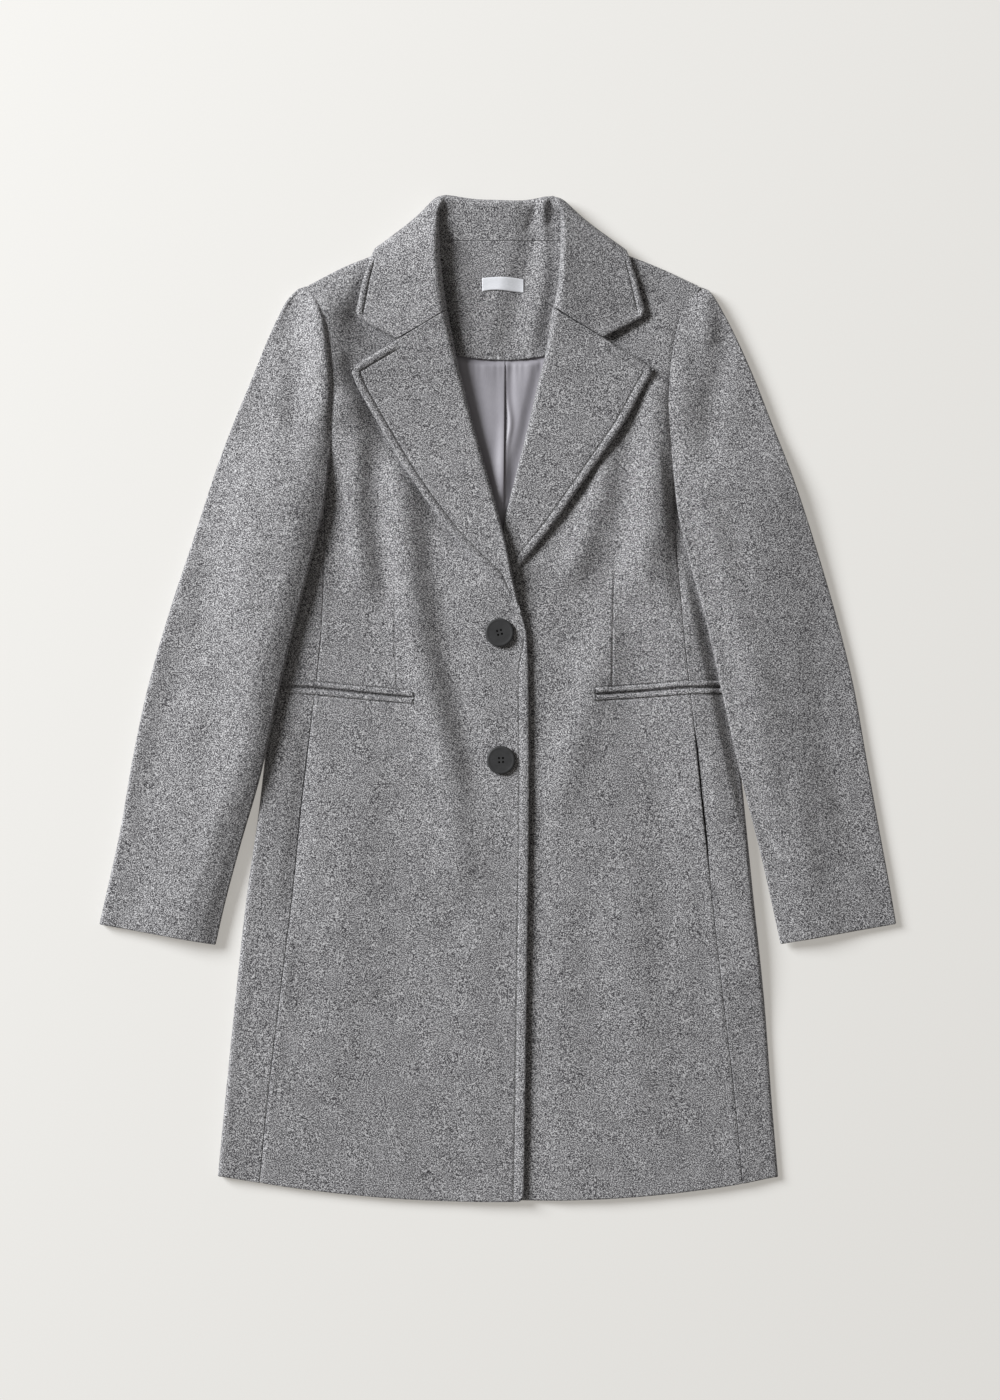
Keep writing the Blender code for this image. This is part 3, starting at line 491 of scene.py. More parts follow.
def lay(knots, shares):
    """Places between knots: for each interval its shares, then the last knot."""
    cols = []
    for k, part in enumerate(shares):
        for f in part:
            cols.append(blend(knots[k], knots[k + 1], f))
    cols.append(knots[-1])
    return np.stack(cols, axis=1)


def recut(grid, places):
    """Grid with new points at the given distances along each row."""
    arc = lengths(grid, 1)
    made = np.empty((*places.shape, 3))
    for i in range(len(grid)):
        for c in range(3):
            made[i, :, c] = np.interp(places[i], arc[i], grid[i, :, c])
    return made


def rows_at(grid, index):
    """Grid with rows at fractional row numbers."""
    index = np.asarray(index, float)
    low = np.clip(index.astype(int), 0, len(grid) - 2)
    t = (index - low)[:, None, None]
    return grid[low] * (1 - t) + grid[low + 1] * t


def hem_rows(count, first=True, last=False):
    """Row numbers that are close together at a free edge."""
    rim = np.array([0, 0.05, 0.12, 0.24, 0.5])
    index = np.arange(1, count - 1)
    head = rim if first else np.array([0])
    tail = count - 1 - (rim[::-1] if last else np.array([0]))
    return np.concatenate([head, index, tail])


def normals(grid, outward):
    return unit(np.cross(np.gradient(grid, axis=0), np.gradient(grid, axis=1)) * outward)


def round_corner(grid, last_row, last_col, radius):
    """Corner of a panel eased to a radius."""
    g = grid[::-1] if last_row else grid
    g = g[:, ::-1] if last_col else g
    p, q = (np.clip(radius - lengths(g, axis), 0, None) for axis in (0, 1))
    r = np.maximum(np.hypot(p, q), 1e-9)
    k = 1 - np.maximum(p, q) / r
    ahead, aside = unit(np.gradient(g, axis=0)), unit(np.gradient(g, axis=1))
    g = g + (p * k)[:, :, None] * ahead + (q * k)[:, :, None] * aside
    g = g[:, ::-1] if last_col else g
    return g[::-1] if last_row else g


PIECES = []
TRIMS = {}  # node: the pieces sewn on it


def mesh_object(name, points, quads, look):
    quads = np.asarray(quads, np.int32)
    sides = quads.shape[1]
    mesh = bpy.data.meshes.new(name)
    mesh.vertices.add(len(points))
    mesh.vertices.foreach_set("co", (np.asarray(points, np.float64) * MM).astype(np.float32).ravel())
    mesh.loops.add(quads.size)
    mesh.loops.foreach_set("vertex_index", quads.ravel())
    mesh.polygons.add(len(quads))
    mesh.polygons.foreach_set("loop_start", np.arange(len(quads), dtype=np.int32) * sides)
    mesh.polygons.foreach_set("use_smooth", np.full(len(quads), True))
    mesh.update(calc_edges=True)
    mesh.validate()
    mesh.materials.append(look)
    made = bpy.data.objects.new(name, mesh)
    made.pass_index = len(PIECES) + 1
    bpy.context.scene.collection.objects.link(made)
    PIECES.append(made)
    return made


def take_place(made, slot, *nodes):
    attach(made, "root")
    if nodes:
        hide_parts(*nodes)
    return made


def shell(node, grid, wall, outward, rims, rests_on, slot="wool"):
    """Closed wall of cloth on an outside grid, with rounded rims: first and last row, first and last column."""
    n, m = grid.shape[:2]
    wall = np.broadcast_to(np.asarray(wall, float), (n, m))
    normal = normals(grid, outward)
    along_rows = lengths(grid, 0)
    along_cols = lengths(grid, 1)
    borders = (along_rows, along_rows[-1:] - along_rows, along_cols, along_cols[:, -1:] - along_cols)
    half = np.ones((n, m))
    for rim, far in zip(rims, borders):
        t = np.where(np.asarray(rim) > 0, np.clip(far / np.maximum(rim, 1e-6), 0, 1), 1)
        half = np.minimum(half, np.sqrt(np.clip(1 - (1 - t) ** 2, 0.02, 1)))
    mid = grid - normal * (wall / 2)[:, :, None]
    reach = normal * (wall / 2 * half)[:, :, None]
    outer, inner = mid + reach, mid - reach
    points = np.vstack([outer.reshape(-1, 3), inner.reshape(-1, 3)])
    index = np.arange(n * m).reshape(n, m)
    a, b, c, d = index[:-1, :-1], index[1:, :-1], index[1:, 1:], index[:-1, 1:]
    top = np.stack([a, b, c, d], axis=-1).reshape(-1, 4)
    under = top[:, ::-1] + n * m
    rim = np.concatenate([index[0, :], index[1:, -1], index[-1, -2::-1], index[-2:0:-1, 0]])
    after = np.roll(rim, -1)
    side = np.stack([rim, after, after + n * m, rim + n * m], axis=-1)
    quads = np.concatenate([top, under, side])
    if outward < 0:
        quads = quads[:, ::-1]
    made = take_place(mesh_object("coat_" + node, points, quads, LOOKS[slot]), slot, node)
    if rests_on is None:
        return made, outer
    quad = np.cross(grid[1:, 1:] - grid[:-1, :-1], grid[1:, :-1] - grid[:-1, 1:])
    quad = np.linalg.norm(quad, axis=2) / 2
    return made, outer


# Materials


class Nodes:
    """Short way to build a material's node tree."""

    def __init__(self, name):
        self.material = bpy.data.materials.new(name)
        self.material.use_nodes = True
        self.tree = self.material.node_tree
        self.shader = self.tree.nodes["Principled BSDF"]

    def add(self, kind, links=None, **settings):
        node = self.tree.nodes.new(kind)
        for key, value in settings.items():
            setattr(node, key, value)
        self.fill(node, links or {})
        return node

    def fill(self, node, values):
        for key, value in values.items():
            socket = node.inputs[key]
            if hasattr(value, "links"):
                self.tree.links.new(value, socket)
            else:
                socket.default_value = value

    def dress(self, colour, **settings):
        """Colour and the constant values of the shader's own sockets."""
        self.fill(self.shader, {"Base Color": colour})
        self.fill(self.shader, {key.replace("_", " "): value for key, value in settings.items()})

    def mixed(self, a, share, b):
        return self.math("ADD", self.math("MULTIPLY", a, share), self.math("MULTIPLY", b, 1 - share))

    def math(self, operation, a, b=0, c=None):
        links = {0: a, 1: b}
        if c is not None:
            links[2] = c
        return self.add("ShaderNodeMath", links, operation=operation).outputs[0]

    def noise(self, vector, scale, detail=2, rough=0.5, distortion=0):
        links = {"Vector": vector, "Scale": scale, "Detail": detail}
        links |= {"Roughness": rough, "Distortion": distortion}
        return self.add("ShaderNodeTexNoise", links).outputs["Fac"]

    def ramp(self, fac, stops):
        node = self.add("ShaderNodeValToRGB", {"Fac": fac})
        elements = node.color_ramp.elements
        while len(elements) < len(stops):
            elements.new(0.5)
        for element, (place, colour) in zip(elements, stops):
            element.position = place
            element.color = (*colour, 1)
        return node.outputs["Color"]

    def place(self):
        """Cloth position, shifted from piece to piece so that the pattern breaks at each seam."""
        coords = self.add("ShaderNodeTexCoord").outputs["Object"]
        info = self.add("ShaderNodeObjectInfo").outputs["Object Index"]
        shift = self.add("ShaderNodeCombineXYZ", {0: self.math("MULTIPLY", info, 0.137), 2: info}).outputs[0]
        return self.add("ShaderNodeVectorMath", {0: coords, 1: shift}, operation="ADD").outputs[0]

    def bump(self, height, distance, strength):
        node = self.add("ShaderNodeBump", {"Height": height, "Distance": distance, "Strength": strength})
        self.fill(self.shader, {"Normal": node.outputs["Normal"]})


FIBRE_SCALE = 500
FLECK_SCALE = 1100
TWILL_SLOPE = 1.35
TWILL_PITCH = 0.0031  # metres


def wool_material():
    k = Nodes("wool_melange")
    at = k.place()
    fibres = k.noise(at, FIBRE_SCALE, 2, 0.6, 0.8)
    flecks = k.noise(at, FLECK_SCALE, 1, 0.6, 0.3)
    cloud = k.noise(at, 60, 3, 0.55, 0.3)
    split = k.add("ShaderNodeSeparateXYZ", {0: at})
    diagonal = k.math("ADD", split.outputs[0], k.math("MULTIPLY", split.outputs[1], TWILL_SLOPE))
    wobble = k.math("MULTIPLY", fibres, 4)
    twill = k.math("SINE", k.math("ADD", k.math("MULTIPLY", diagonal, 2 * math.pi / TWILL_PITCH), wobble))
    mix = 0.5
    for part, share in ((fibres, 0.44), (flecks, 2.5), (cloud, 0.17)):
        mix = k.math("MULTIPLY_ADD", k.math("SUBTRACT", part, 0.5), share, mix)
    mix = k.math("MULTIPLY_ADD", twill, 0.024, mix)
    colour = k.ramp(mix, (
        (0.20, (0.034, 0.032, 0.036)), (0.37, (0.108, 0.106, 0.112)), (0.50, (0.211, 0.207, 0.214)),
        (0.63, (0.350, 0.345, 0.355)), (0.84, (0.630, 0.625, 0.635)),
    ))
    k.dress(
        colour, Roughness=0.92, Specular_IOR_Level=0.18, Sheen_Weight=0.1,
        Sheen_Roughness=0.55, Sheen_Tint=(0.9, 0.9, 0.95, 1),
    )
    height = k.mixed(fibres, 0.7, flecks)
    k.bump(k.math("ADD", height, k.math("MULTIPLY", twill, 0.05)), 0.0008, 0.7)
    return k.material


def lining_material():
    k = Nodes("lining_satin")
    at = k.place()
    fine = k.add("ShaderNodeMapping", {"Vector": at, "Scale": (3200, 260, 800)}).outputs[0]
    yarn = k.noise(fine, 1, 2, 0.5)
    shade = k.noise(at, 30, 2, 0.5)
    mix = k.mixed(yarn, 0.5, shade)
    colour = k.ramp(mix, ((0.3, (0.285, 0.273, 0.305)), (0.7, (0.365, 0.352, 0.385))))
    k.dress(colour, Roughness=0.42, Specular_IOR_Level=0.45, Sheen_Weight=0.15)
    k.bump(yarn, 0.0001, 0.4)
    return k.material


def button_material():
    k = Nodes("button_matt")
    at = k.place()
    specks = k.noise(at, 1500, 2, 0.6)
    mix = k.mixed(specks, 0.4, k.noise(at, 160, 3, 0.5))
    colour = k.ramp(mix, ((0.3, (0.026, 0.026, 0.027)), (0.7, (0.044, 0.044, 0.046))))
    rough = k.add("ShaderNodeMapRange", {0: specks, 3: 0.45, 4: 0.62}).outputs[0]
    k.dress(colour, Roughness=rough, Specular_IOR_Level=0.4)
    k.bump(specks, 0.00006, 0.5)
    return k.material


def plain_material(name, grain, dark, light, roughness, relief, **settings):
    """One noise between two colours; grain is its scale, detail and roughness, or a stretch for woven ribs."""
    k = Nodes(name)
    at = k.place()
    if len(grain) == 2:
        at = k.add("ShaderNodeMapping", {"Vector": at, "Scale": grain[0]}).outputs[0]
    fleck = k.noise(at, *grain[-1])
    k.dress(k.ramp(fleck, ((0.3, dark), (0.7, light))), Roughness=roughness, **settings)
    if relief:
        k.bump(fleck, 0.0002, relief)
    return k.material


def thread_material(name, low, high):
    return plain_material(name, ((2200, 2, 0.6),), (low,) * 3, (high,) * 3, 0.75, 0.6)


LOOKS = {
    "wool": wool_material(),
    "lining": lining_material(),
    "label": plain_material(
        "label_tape", ((420, 2600, 400), (1, 2, 0.5)), (0.70, 0.71, 0.75), (0.82, 0.83, 0.87), 0.6, 0.5,
    ),
    "button": button_material(),
    "thread": thread_material("thread_grey", 0.11, 0.20),
    # slit: near-black look; painted shade of the open buttonhole slit beside the upper button, and also the
    # thread of the pocket bar tacks
    "slit": thread_material("slit_shade_and_tack_thread", 0.03, 0.06),
}


# Panels


def roll_in(row, extra):
    """Points under a turned leaf, its roll's radius and a gap from the roll line."""
    t = np.asarray(row, float)
    return t[:, 0:2] + unit(t[:, 2:4] - t[:, 0:2]) * (t[:, 4:5] + extra)


def square_down(line):
    """Directions square to a line, down the body."""
    slope = unit(np.gradient(line, axis=0))
    square = np.column_stack([slope[:, 1], -slope[:, 0]])
    return square * -np.sign(square[:, 1:2])


def between(table):
    """Stations along the middle of a table's inner and outer points."""
    return stations((table[:, 0:2] + table[:, 2:4]) / 2)


def sleeve_rows(side, cap, arm):
    """Inner and outer edge of a sleeve, in rows that are close together at the head."""
    t = np.asarray(SLEEVE[side])
    s = between(t)
    upper = s[CAP_ROWS] * (np.arange(cap + 1) / cap) ** 1.25
    lower = s[CAP_ROWS] + (s[-1] - s[CAP_ROWS]) * np.arange(1, arm + 1) / arm
    rows = smooth(s, t, np.concatenate([upper, lower]))
    return rows[:, 0:2], rows[:, 2:4]


# Rows of a front below the armhole, of an armhole or a sleeve's cap, and of an arm; steps of a turned edge
LOW = 160
CAP = 56
ARM = 96
TURN = 9
# Places of a front's rows above and below the pocket's mouth
POCKET_ROWS = np.array([0, 0.4, 0.8, 1.3, 1.9, 2.7, 3.8, 4.8, 5.4, 5.8, 6.2, 6.6, 7, 7.6, 8.6, 10.5])


def front(side, across):
    """Outside grid of a front, its row count before the shoulder fold, and its seam points."""
    sign = SIGN[side]
    lapel = np.asarray(LAPEL[side])
    seam = np.asarray(SIDE_SEAM[side])
    edge = np.asarray(FRONT_EDGE[side])
    inset = roll_in(lapel, ROLL_GAP)
    split = next(k for k in range(len(inset)) if inset[k, 1] < 186)
    tail = inset[:split - 1:-1]
    lower = np.vstack([edge[:, ::-1], tail[tail[:, 1] > edge[-1, 0] + 6]])
    v = spaced(LOW + 1)
    share = 0.86
    begin = lower[0, 1] * (1 - share) + seam[0, 0] * share
    rise = (lower[-1, 1] - lower[0, 1]) * (1 - share) + (seam[-1, 0] - seam[0, 0]) * share
    middle = mouth(side, (POCKET[side][0][0] + POCKET[side][-1][0]) / 2)
    near = (middle - begin + np.concatenate([-POCKET_ROWS[:0:-1], POCKET_ROWS])) / rise
    v = np.sort(np.concatenate([v[(v < near[0] - 0.003) | (v > near[-1] + 0.003)], near]))
    y_in = blend(lower[0, 1], lower[-1, 1], v)
    inner = np.column_stack([smooth(lower[:, 1], lower[:, 0], y_in)[:, 0], y_in])
    y_out = blend(seam[0, 0], seam[-1, 0], v)
    outer = np.column_stack([smooth(seam[:, 0], seam[:, 1], y_out)[:, 0], y_out])
    seam_points = outer.copy()
    outer[:, 0] -= sign * SEAM / 2
    leaf = np.asarray(COLLAR[side])
    beside = roll_in(leaf[1:4][:, [0, 1, 2, 3, 6]], ROLL_GAP)
    shoulder = along(SHOULDER[side], spaced(across + 1))
    square = square_down(shoulder)
    last = shoulder + square * BODY_TOP / 2
    last[-1, 0] += sign * TUCK
    neck = np.vstack([inset[split::-1], beside, last[:1]])
    table = np.asarray(SLEEVE[side])
    reach = between(table)
    armhole = smooth(reach, table[:, 0:2], np.linspace(reach[CAP_ROWS], 11, CAP))
    armhole = armhole + np.array([sign * TUCK, 0]) * step(0, 0.05, spaced(CAP))[:, None]
    share = spaced(len(armhole) + 2)[1:-1]
    inner_up = along(neck, share)
    u = spaced(across + 1)[:, None]
    rows = []
    for k in range(len(v)):
        row = blend(inner[k], outer[k], u)
        row[:, 1] -= HEM_SAG[side] * 4 * u[:, 0] * (1 - u[:, 0]) * (1 - v[k]) ** 3
        rows.append(row)
    bow = last - blend(last[0], last[-1], u)
    for k in range(len(armhole)):
        rows.append(blend(inner_up[k], armhole[k], u) + bow * share[k] ** 3)
    rows.append(last)
    xy = np.array(rows)
    xy[:, :, 1] = beside_pocket(side, *plan(xy))
    seam_points[:, 1] = beside_pocket(side, *plan(seam_points))
    seam_points[:, 0] = smooth(seam[:, 0], seam[:, 1], seam_points[:, 1])[:, 0]
    flat = np.dstack([xy, body_top(side, *plan(xy))])
    end = flat[-1]
    turn = turned(end, shoulder, collar_lift(*plan(end)), math.pi, TURN)
    tail = turn[-1].copy()
    tail[:, :2] += square * SHOULDER_UNDER
    tail[:, 2] = collar_lift(*plan(tail))
    return np.concatenate([flat, np.array(turn + [tail])]), len(flat), seam_points


def front_panel(side):
    """Front with its topstitched edge, dart and seam."""
    base, flat_rows, seam_points = front(side, 70)
    index = hem_rows(len(base))
    base = rows_at(base, index)
    flat = (index <= flat_rows - 1).astype(float)[:, None]
    arc = lengths(base, 1)
    width = arc[:, -1]
    y = base[:, 0, 1]
    stitch = 10 - 6.6 * step(24, 60, y) if side == "right" else np.full(len(base), 10)
    table = np.asarray(DART[side])
    sign = SIGN[side]
    dart = np.empty(len(base))
    for i in range(len(base)):
        x_dart = np.interp(base[i, :, 1].mean(), table[:, 0], table[:, 1])
        dart[i] = np.interp(sign * x_dart, sign * base[i, :, 0], arc[i])
    dart = np.clip(dart, 0.25 * width, 0.75 * width)
    near = np.minimum(2.4, 0.55 * stitch)
    rim = np.minimum(1.3, 0.3 * stitch)
    knots = [0 * width, rim, stitch - near, stitch + near, dart - 5, dart + 5, width - 1.2, width]
    places = lay(knots, (RIM, ramp(4), GROOVE, ramp(25), GROOVE, ramp(27), 1 - RIM[:0:-1]))
    grid = recut(base, places)
    x, y = plan(grid)
    off = places
    sewn = fall(58, 66, y) if side == "right" else 0 * y
    to_line = off - stitch[:, None]
    strip = (off - 0.48 * stitch[:, None]) / (0.42 * stitch[:, None])
    relief = sewn * (0.7 * np.exp(-(strip**2)) - 0.8 * bell(to_line, GROOVE_HALF))
    to_dart = off - dart[:, None]
    held = step(9, 14, y) * fall(DART_TOP[side] - 45, DART_TOP[side], y)
    relief += held * (0.5 * bell(to_dart, 5) - 1.3 * bell(to_dart, GROOVE_HALF))
    to_seam = width[:, None] - off
    below = fall(165, 185, y)
    relief += 0.4 * below * bell(to_seam, 5)
    relief += surface(side, x, y) - body_top(side, x, y) + pocket_relief(side, x, y)
    armhole = 1.7 * bell(to_seam, 3.6)
    relief -= step(186, 215, y) * armhole * fall(345, 380, y)
    if side == "left":
        relief -= underarm(y) * UNDERARM_DIP * bell(to_seam, 9)
    ends = np.arange(len(grid))[:, None] - np.argmin(flat[:, 0]) + 1
    grid[:, :, 2] += relief * flat * (1 - step(-5, 0, ends) * (flat[-1, 0] == 0))
    grid = round_corner(grid, False, False, 7 if side == "right" else 4)
    grid = round_corner(grid, False, True, 2)
    wall = WOOL + EDGE_WALL["front"] * fall(8, 16, off) * flat * (side == "right")
    outer = shell(side + "_front", grid, wall, -sign, (1.3, 0, 1.6, 0.9 * below[:, -1:]), ["back"])[1]
    line = len(RIM) + 4 + MID
    rows = [i for i in range(len(grid)) if grid[i, 0, 1] < 62]
    lines = [outer[rows, line]] if side == "right" else []
    return lines, seam_points


def side_panel(side, seam_points):
    """Side panel from the front seam round the side fold, and its line on the back."""
    sign = SIGN[side]
    more = np.array([(0.5, 2.2), (1.05, 4.4), (1.65, 6.6), (2.75, 10.4), (4.6, 14.2)]) * (sign, 1)
    seam_points = np.vstack([seam_points, seam_points[-1] + more])
    count = len(seam_points)
    v = spaced(count) ** 0.8
    y = seam_points[:, 1]
    open_seam = step(-190, -120, y) * fall(-50, -18, y) * (1.3 if side == "left" else 0.4)
    start = seam_points + np.array([sign, 0]) * (open_seam - SEAM / 4)[:, None]
    edge_y = y + 6 * (1 - v) ** 4
    edge = np.column_stack([side_fold(side, edge_y), edge_y])
    stop = edge - np.array([sign * BODY_TOP / 2, 0])
    span = np.linalg.norm(stop - start, axis=1)
    cols = []
    shares = np.concatenate([RIM * 1.2, np.linspace(1.2, 9, 5)[:-1]])
    begin = 9 / span
    places = [s / span for s in shares] + [blend(begin, 1, f) for f in spaced(14)]
    for u in places:
        xy = blend(start, stop, u[:, None])
        swell = beside_sleeve(side, *plan(xy))
        z = surface(side, *plan(xy)) * (1 - u) + (BODY_TOP + swell - 1.8 * sign) * u
        z = z + pocket_relief(side, *plan(xy))
        z = z + 0.3 * bell(u * span, 5) - 1.5 * open_seam * bell(u * span, 7)
        if side == "left":
            z = z - underarm(xy[:, 1]) * UNDERARM_DIP * bell(u * span, 6)
        cols.append(np.column_stack([xy, z]))
    cols += turned(cols[-1], edge, 0, math.pi, TURN)
    under = cols[-1].copy()
    under[:, 0] -= sign * SIDE_UNDER
    first = cols[-1]
    for f in (0.2, 0.5, 1):
        cols.append(blend(first, under, f))
    grid = rows_at(np.stack(cols, axis=1), hem_rows(count))
    shell(side + "_side_panel", grid, WOOL, -sign, (1.3, 0, 0.9, 0.8), ["back"])
    return under[:, :2]


def back_panel(right_line, left_line):
    """Back between the side panels' lines, up to the shoulders."""
    u = spaced(73)
    v = spaced(len(right_line))
    rows = []
    for k in range(0, len(right_line), 2):
        a = right_line[k] + np.array([SEAM, 0])
        b = left_line[k] - np.array([SEAM, 0])
        row = blend(a, b, u[:, None])
        row[:, 1] -= 15 * 4 * u * (1 - u) * (1 - v[k]) ** 3
        rows.append(row)
    reach = BODY_TOP / 2 + SHOULDER_UNDER + SEAM + 0.3
    lines = {}
    for side in SIGN:
        line = along(SHOULDER[side], np.linspace(0, 0.93, 5))
        lines[side] = line + square_down(line) * reach
    top = np.vstack([lines["right"][::-1], [(CENTRE_X, NECK_Y - 1.5)], lines["left"]])
    top = along(top, u)
    arm = {side: sleeve_rows(side, 24, 4)[0][24:1:-1] for side in SIGN}
    for k in range(len(arm["right"])):
        w = (k + 1) / (len(arm["right"]) + 1)
        a = arm["right"][k] + np.array([ARMHOLE_GAP + 0.3, 0])
        b = arm["left"][k] - np.array([ARMHOLE_GAP + 0.3, 0])
        straight = blend(top[0], top[-1], u[:, None])
        rows.append(blend(a, b, u[:, None]) + (top - straight) * w**2)
    rows.append(top)
    xy = np.array(rows)
    grid = np.dstack([xy, collar_lift(*plan(xy))])
    grid = rows_at(grid, hem_rows(len(grid)))
    shell("back", grid, WOOL, 1, (1.3, 0, 0.8, 0.8), ["surface"])


def sleeve_panels(side):
    """Upper and under sleeve."""
    sign = SIGN[side]
    inner, outer = sleeve_rows(side, CAP, ARM)
    width = np.linalg.norm(outer - inner, axis=1)
    to = (outer - inner) / width[:, None]
    free = fall(203, 296, inner[:, 1])
    thick = SLEEVE_TOP - THINNER[side] * free
    more = step(90, 190, inner[:, 1]) if side == "right" else free
    full = np.minimum(width / 60, 1)
    outer_fall = (1 + OUTER_DROP[side] * more) * full
    low_end = fall(-150, -30, inner[:, 1]) if side == "right" else 1
    sweep = 0.5 + (math.pi - 0.5) * free
    begin = PRESS * np.sin(np.minimum(sweep, math.pi / 2))
    flat = width - OUTER_PRESS[side] - begin
    seam_z = body_top(side, *plan(inner))
    from_top = stations((inner + outer) / 2)
    head = np.sqrt(1 - (1 - np.clip(from_top / 12, 0, 1)) ** 2)
    cols = []
    for f in spaced(45):
        xy = inner + to * (begin + f * flat)[:, None]
        rest = sleeve_rest(side, *plan(xy))
        rise = step(0, 0.45, f) if side == "right" else step(0.05, 0.8, f)
        if side == "right":
            bulge = 1 - (1 - f / 0.22) ** 2 if f < 0.22 else 1 - step(0.22, 0.86, f)
        else:
            bulge = 1 - (1 - f / 0.34) ** 2 if f < 0.34 else 1 - ((f - 0.34) / 0.66) ** 1.9
        edge = CAP_EDGE[side] * (1 - np.exp(-f * flat / 2)) * (1 - f**3)
        cap_z = blend(seam_z, SLEEVE_TOP, rise) + full * (edge + CAP_CROWN[side] * bulge)
        free_z = thick + SLEEVE_CROWN[side] * bulge - EDGE_DROP[side] * low_end * fall(0, 0.26, f)
        ease = math.sin(math.pi * f) ** 0.5 if 0 < f < 1 else 0
        soft = folds(SLEEVE_FOLDS, *plan(xy)) + 1.3 * unevenness(*plan(xy))
        z = rest + blend(cap_z, free_z, free) + ease * soft - outer_fall * step(OUTER_FROM[side], 1, f)
        cols.append(np.column_stack([xy, blend(HEAD_LOW, z, head)]))
    inside = turned(cols[0], inner, cols[0][:, 2] - thick + EDGE_DROP[side] * low_end * free, sweep, TURN)
    end_rest = sleeve_rest(side, *plan(outer))
    outside = turned(cols[-1], outer, end_rest, math.pi, TURN)
    tuck = np.minimum(width - OUTER_PRESS[side] - 0.9, SLEEVE_UNDER)
    under = []
    for f in (0.2, 0.4, 0.7, 1):
        xy = outside[-1][:, :2] - to * tuck[:, None] * f
        under.append(np.column_stack([xy, sleeve_rest(side, *plan(xy))]))
    grid = np.stack(inside[::-1] + cols + outside + under, axis=1)
    grid = rows_at(grid, hem_rows(len(grid), False, True))
    shell(side + "_upper_sleeve", grid, WOOL, sign, (0.8, 1.3, 1, 0.8), ["surface"])
    first = next(k for k in range(len(width)) if width[k] > 40)
    low, high = 0.9 + (PRESS + 0.9) * free, width - OUTER_PRESS[side] - tuck - HIND_GAP
    cols = []
    for f in spaced(22):
        xy = inner + to * blend(low, high, f)[:, None]
        cols.append(np.column_stack([xy, sleeve_rest(side, *plan(xy))]))
    grid = np.stack(cols, axis=1)[first:]
    grid = rows_at(grid, hem_rows(len(grid), False, True))
    shell(side + "_under_sleeve", grid, WOOL, -sign, (0.8, 1.3, 0.8, 0.8), ["surface"])


LAPEL_STITCH = 8.2
STRIP_RISE = {"right": 1.25, "left": 0.8}  # rise of the sewn strip along a lapel's edge
COLLAR_STITCH = 7.4
STRIP = np.array([0, 0.2, 0.55, 1.2, 2.2, 3.4, 5, 6.6, 7.35, 7.8, 8.2, 8.6, 9.05, 9.8, 11.4, 13.5])


def edge_columns(grid, turn_cols, stitch, plain):
    """Rows of cloth cut again with close columns at its topstitched outer edge."""
    arc = lengths(grid, 1)
    total = arc[:, -1]
    start = arc[:, turn_cols]
    small = np.clip((total - start) / 17, 0.3, 1)
    sew = stitch * small
    near = 2.4 * small
    rim = 2.2 * small
    knots = [0 * total, start, total - sew - near, total - sew + near, total - rim, total]
    shares = (ramp(turn_cols), ramp(plain), GROOVE, ramp(4), 1 - RIM[:0:-1])
    places = lay(knots, shares)
    return recut(grid, places), total[:, None] - places, sew, turn_cols + plain + MID


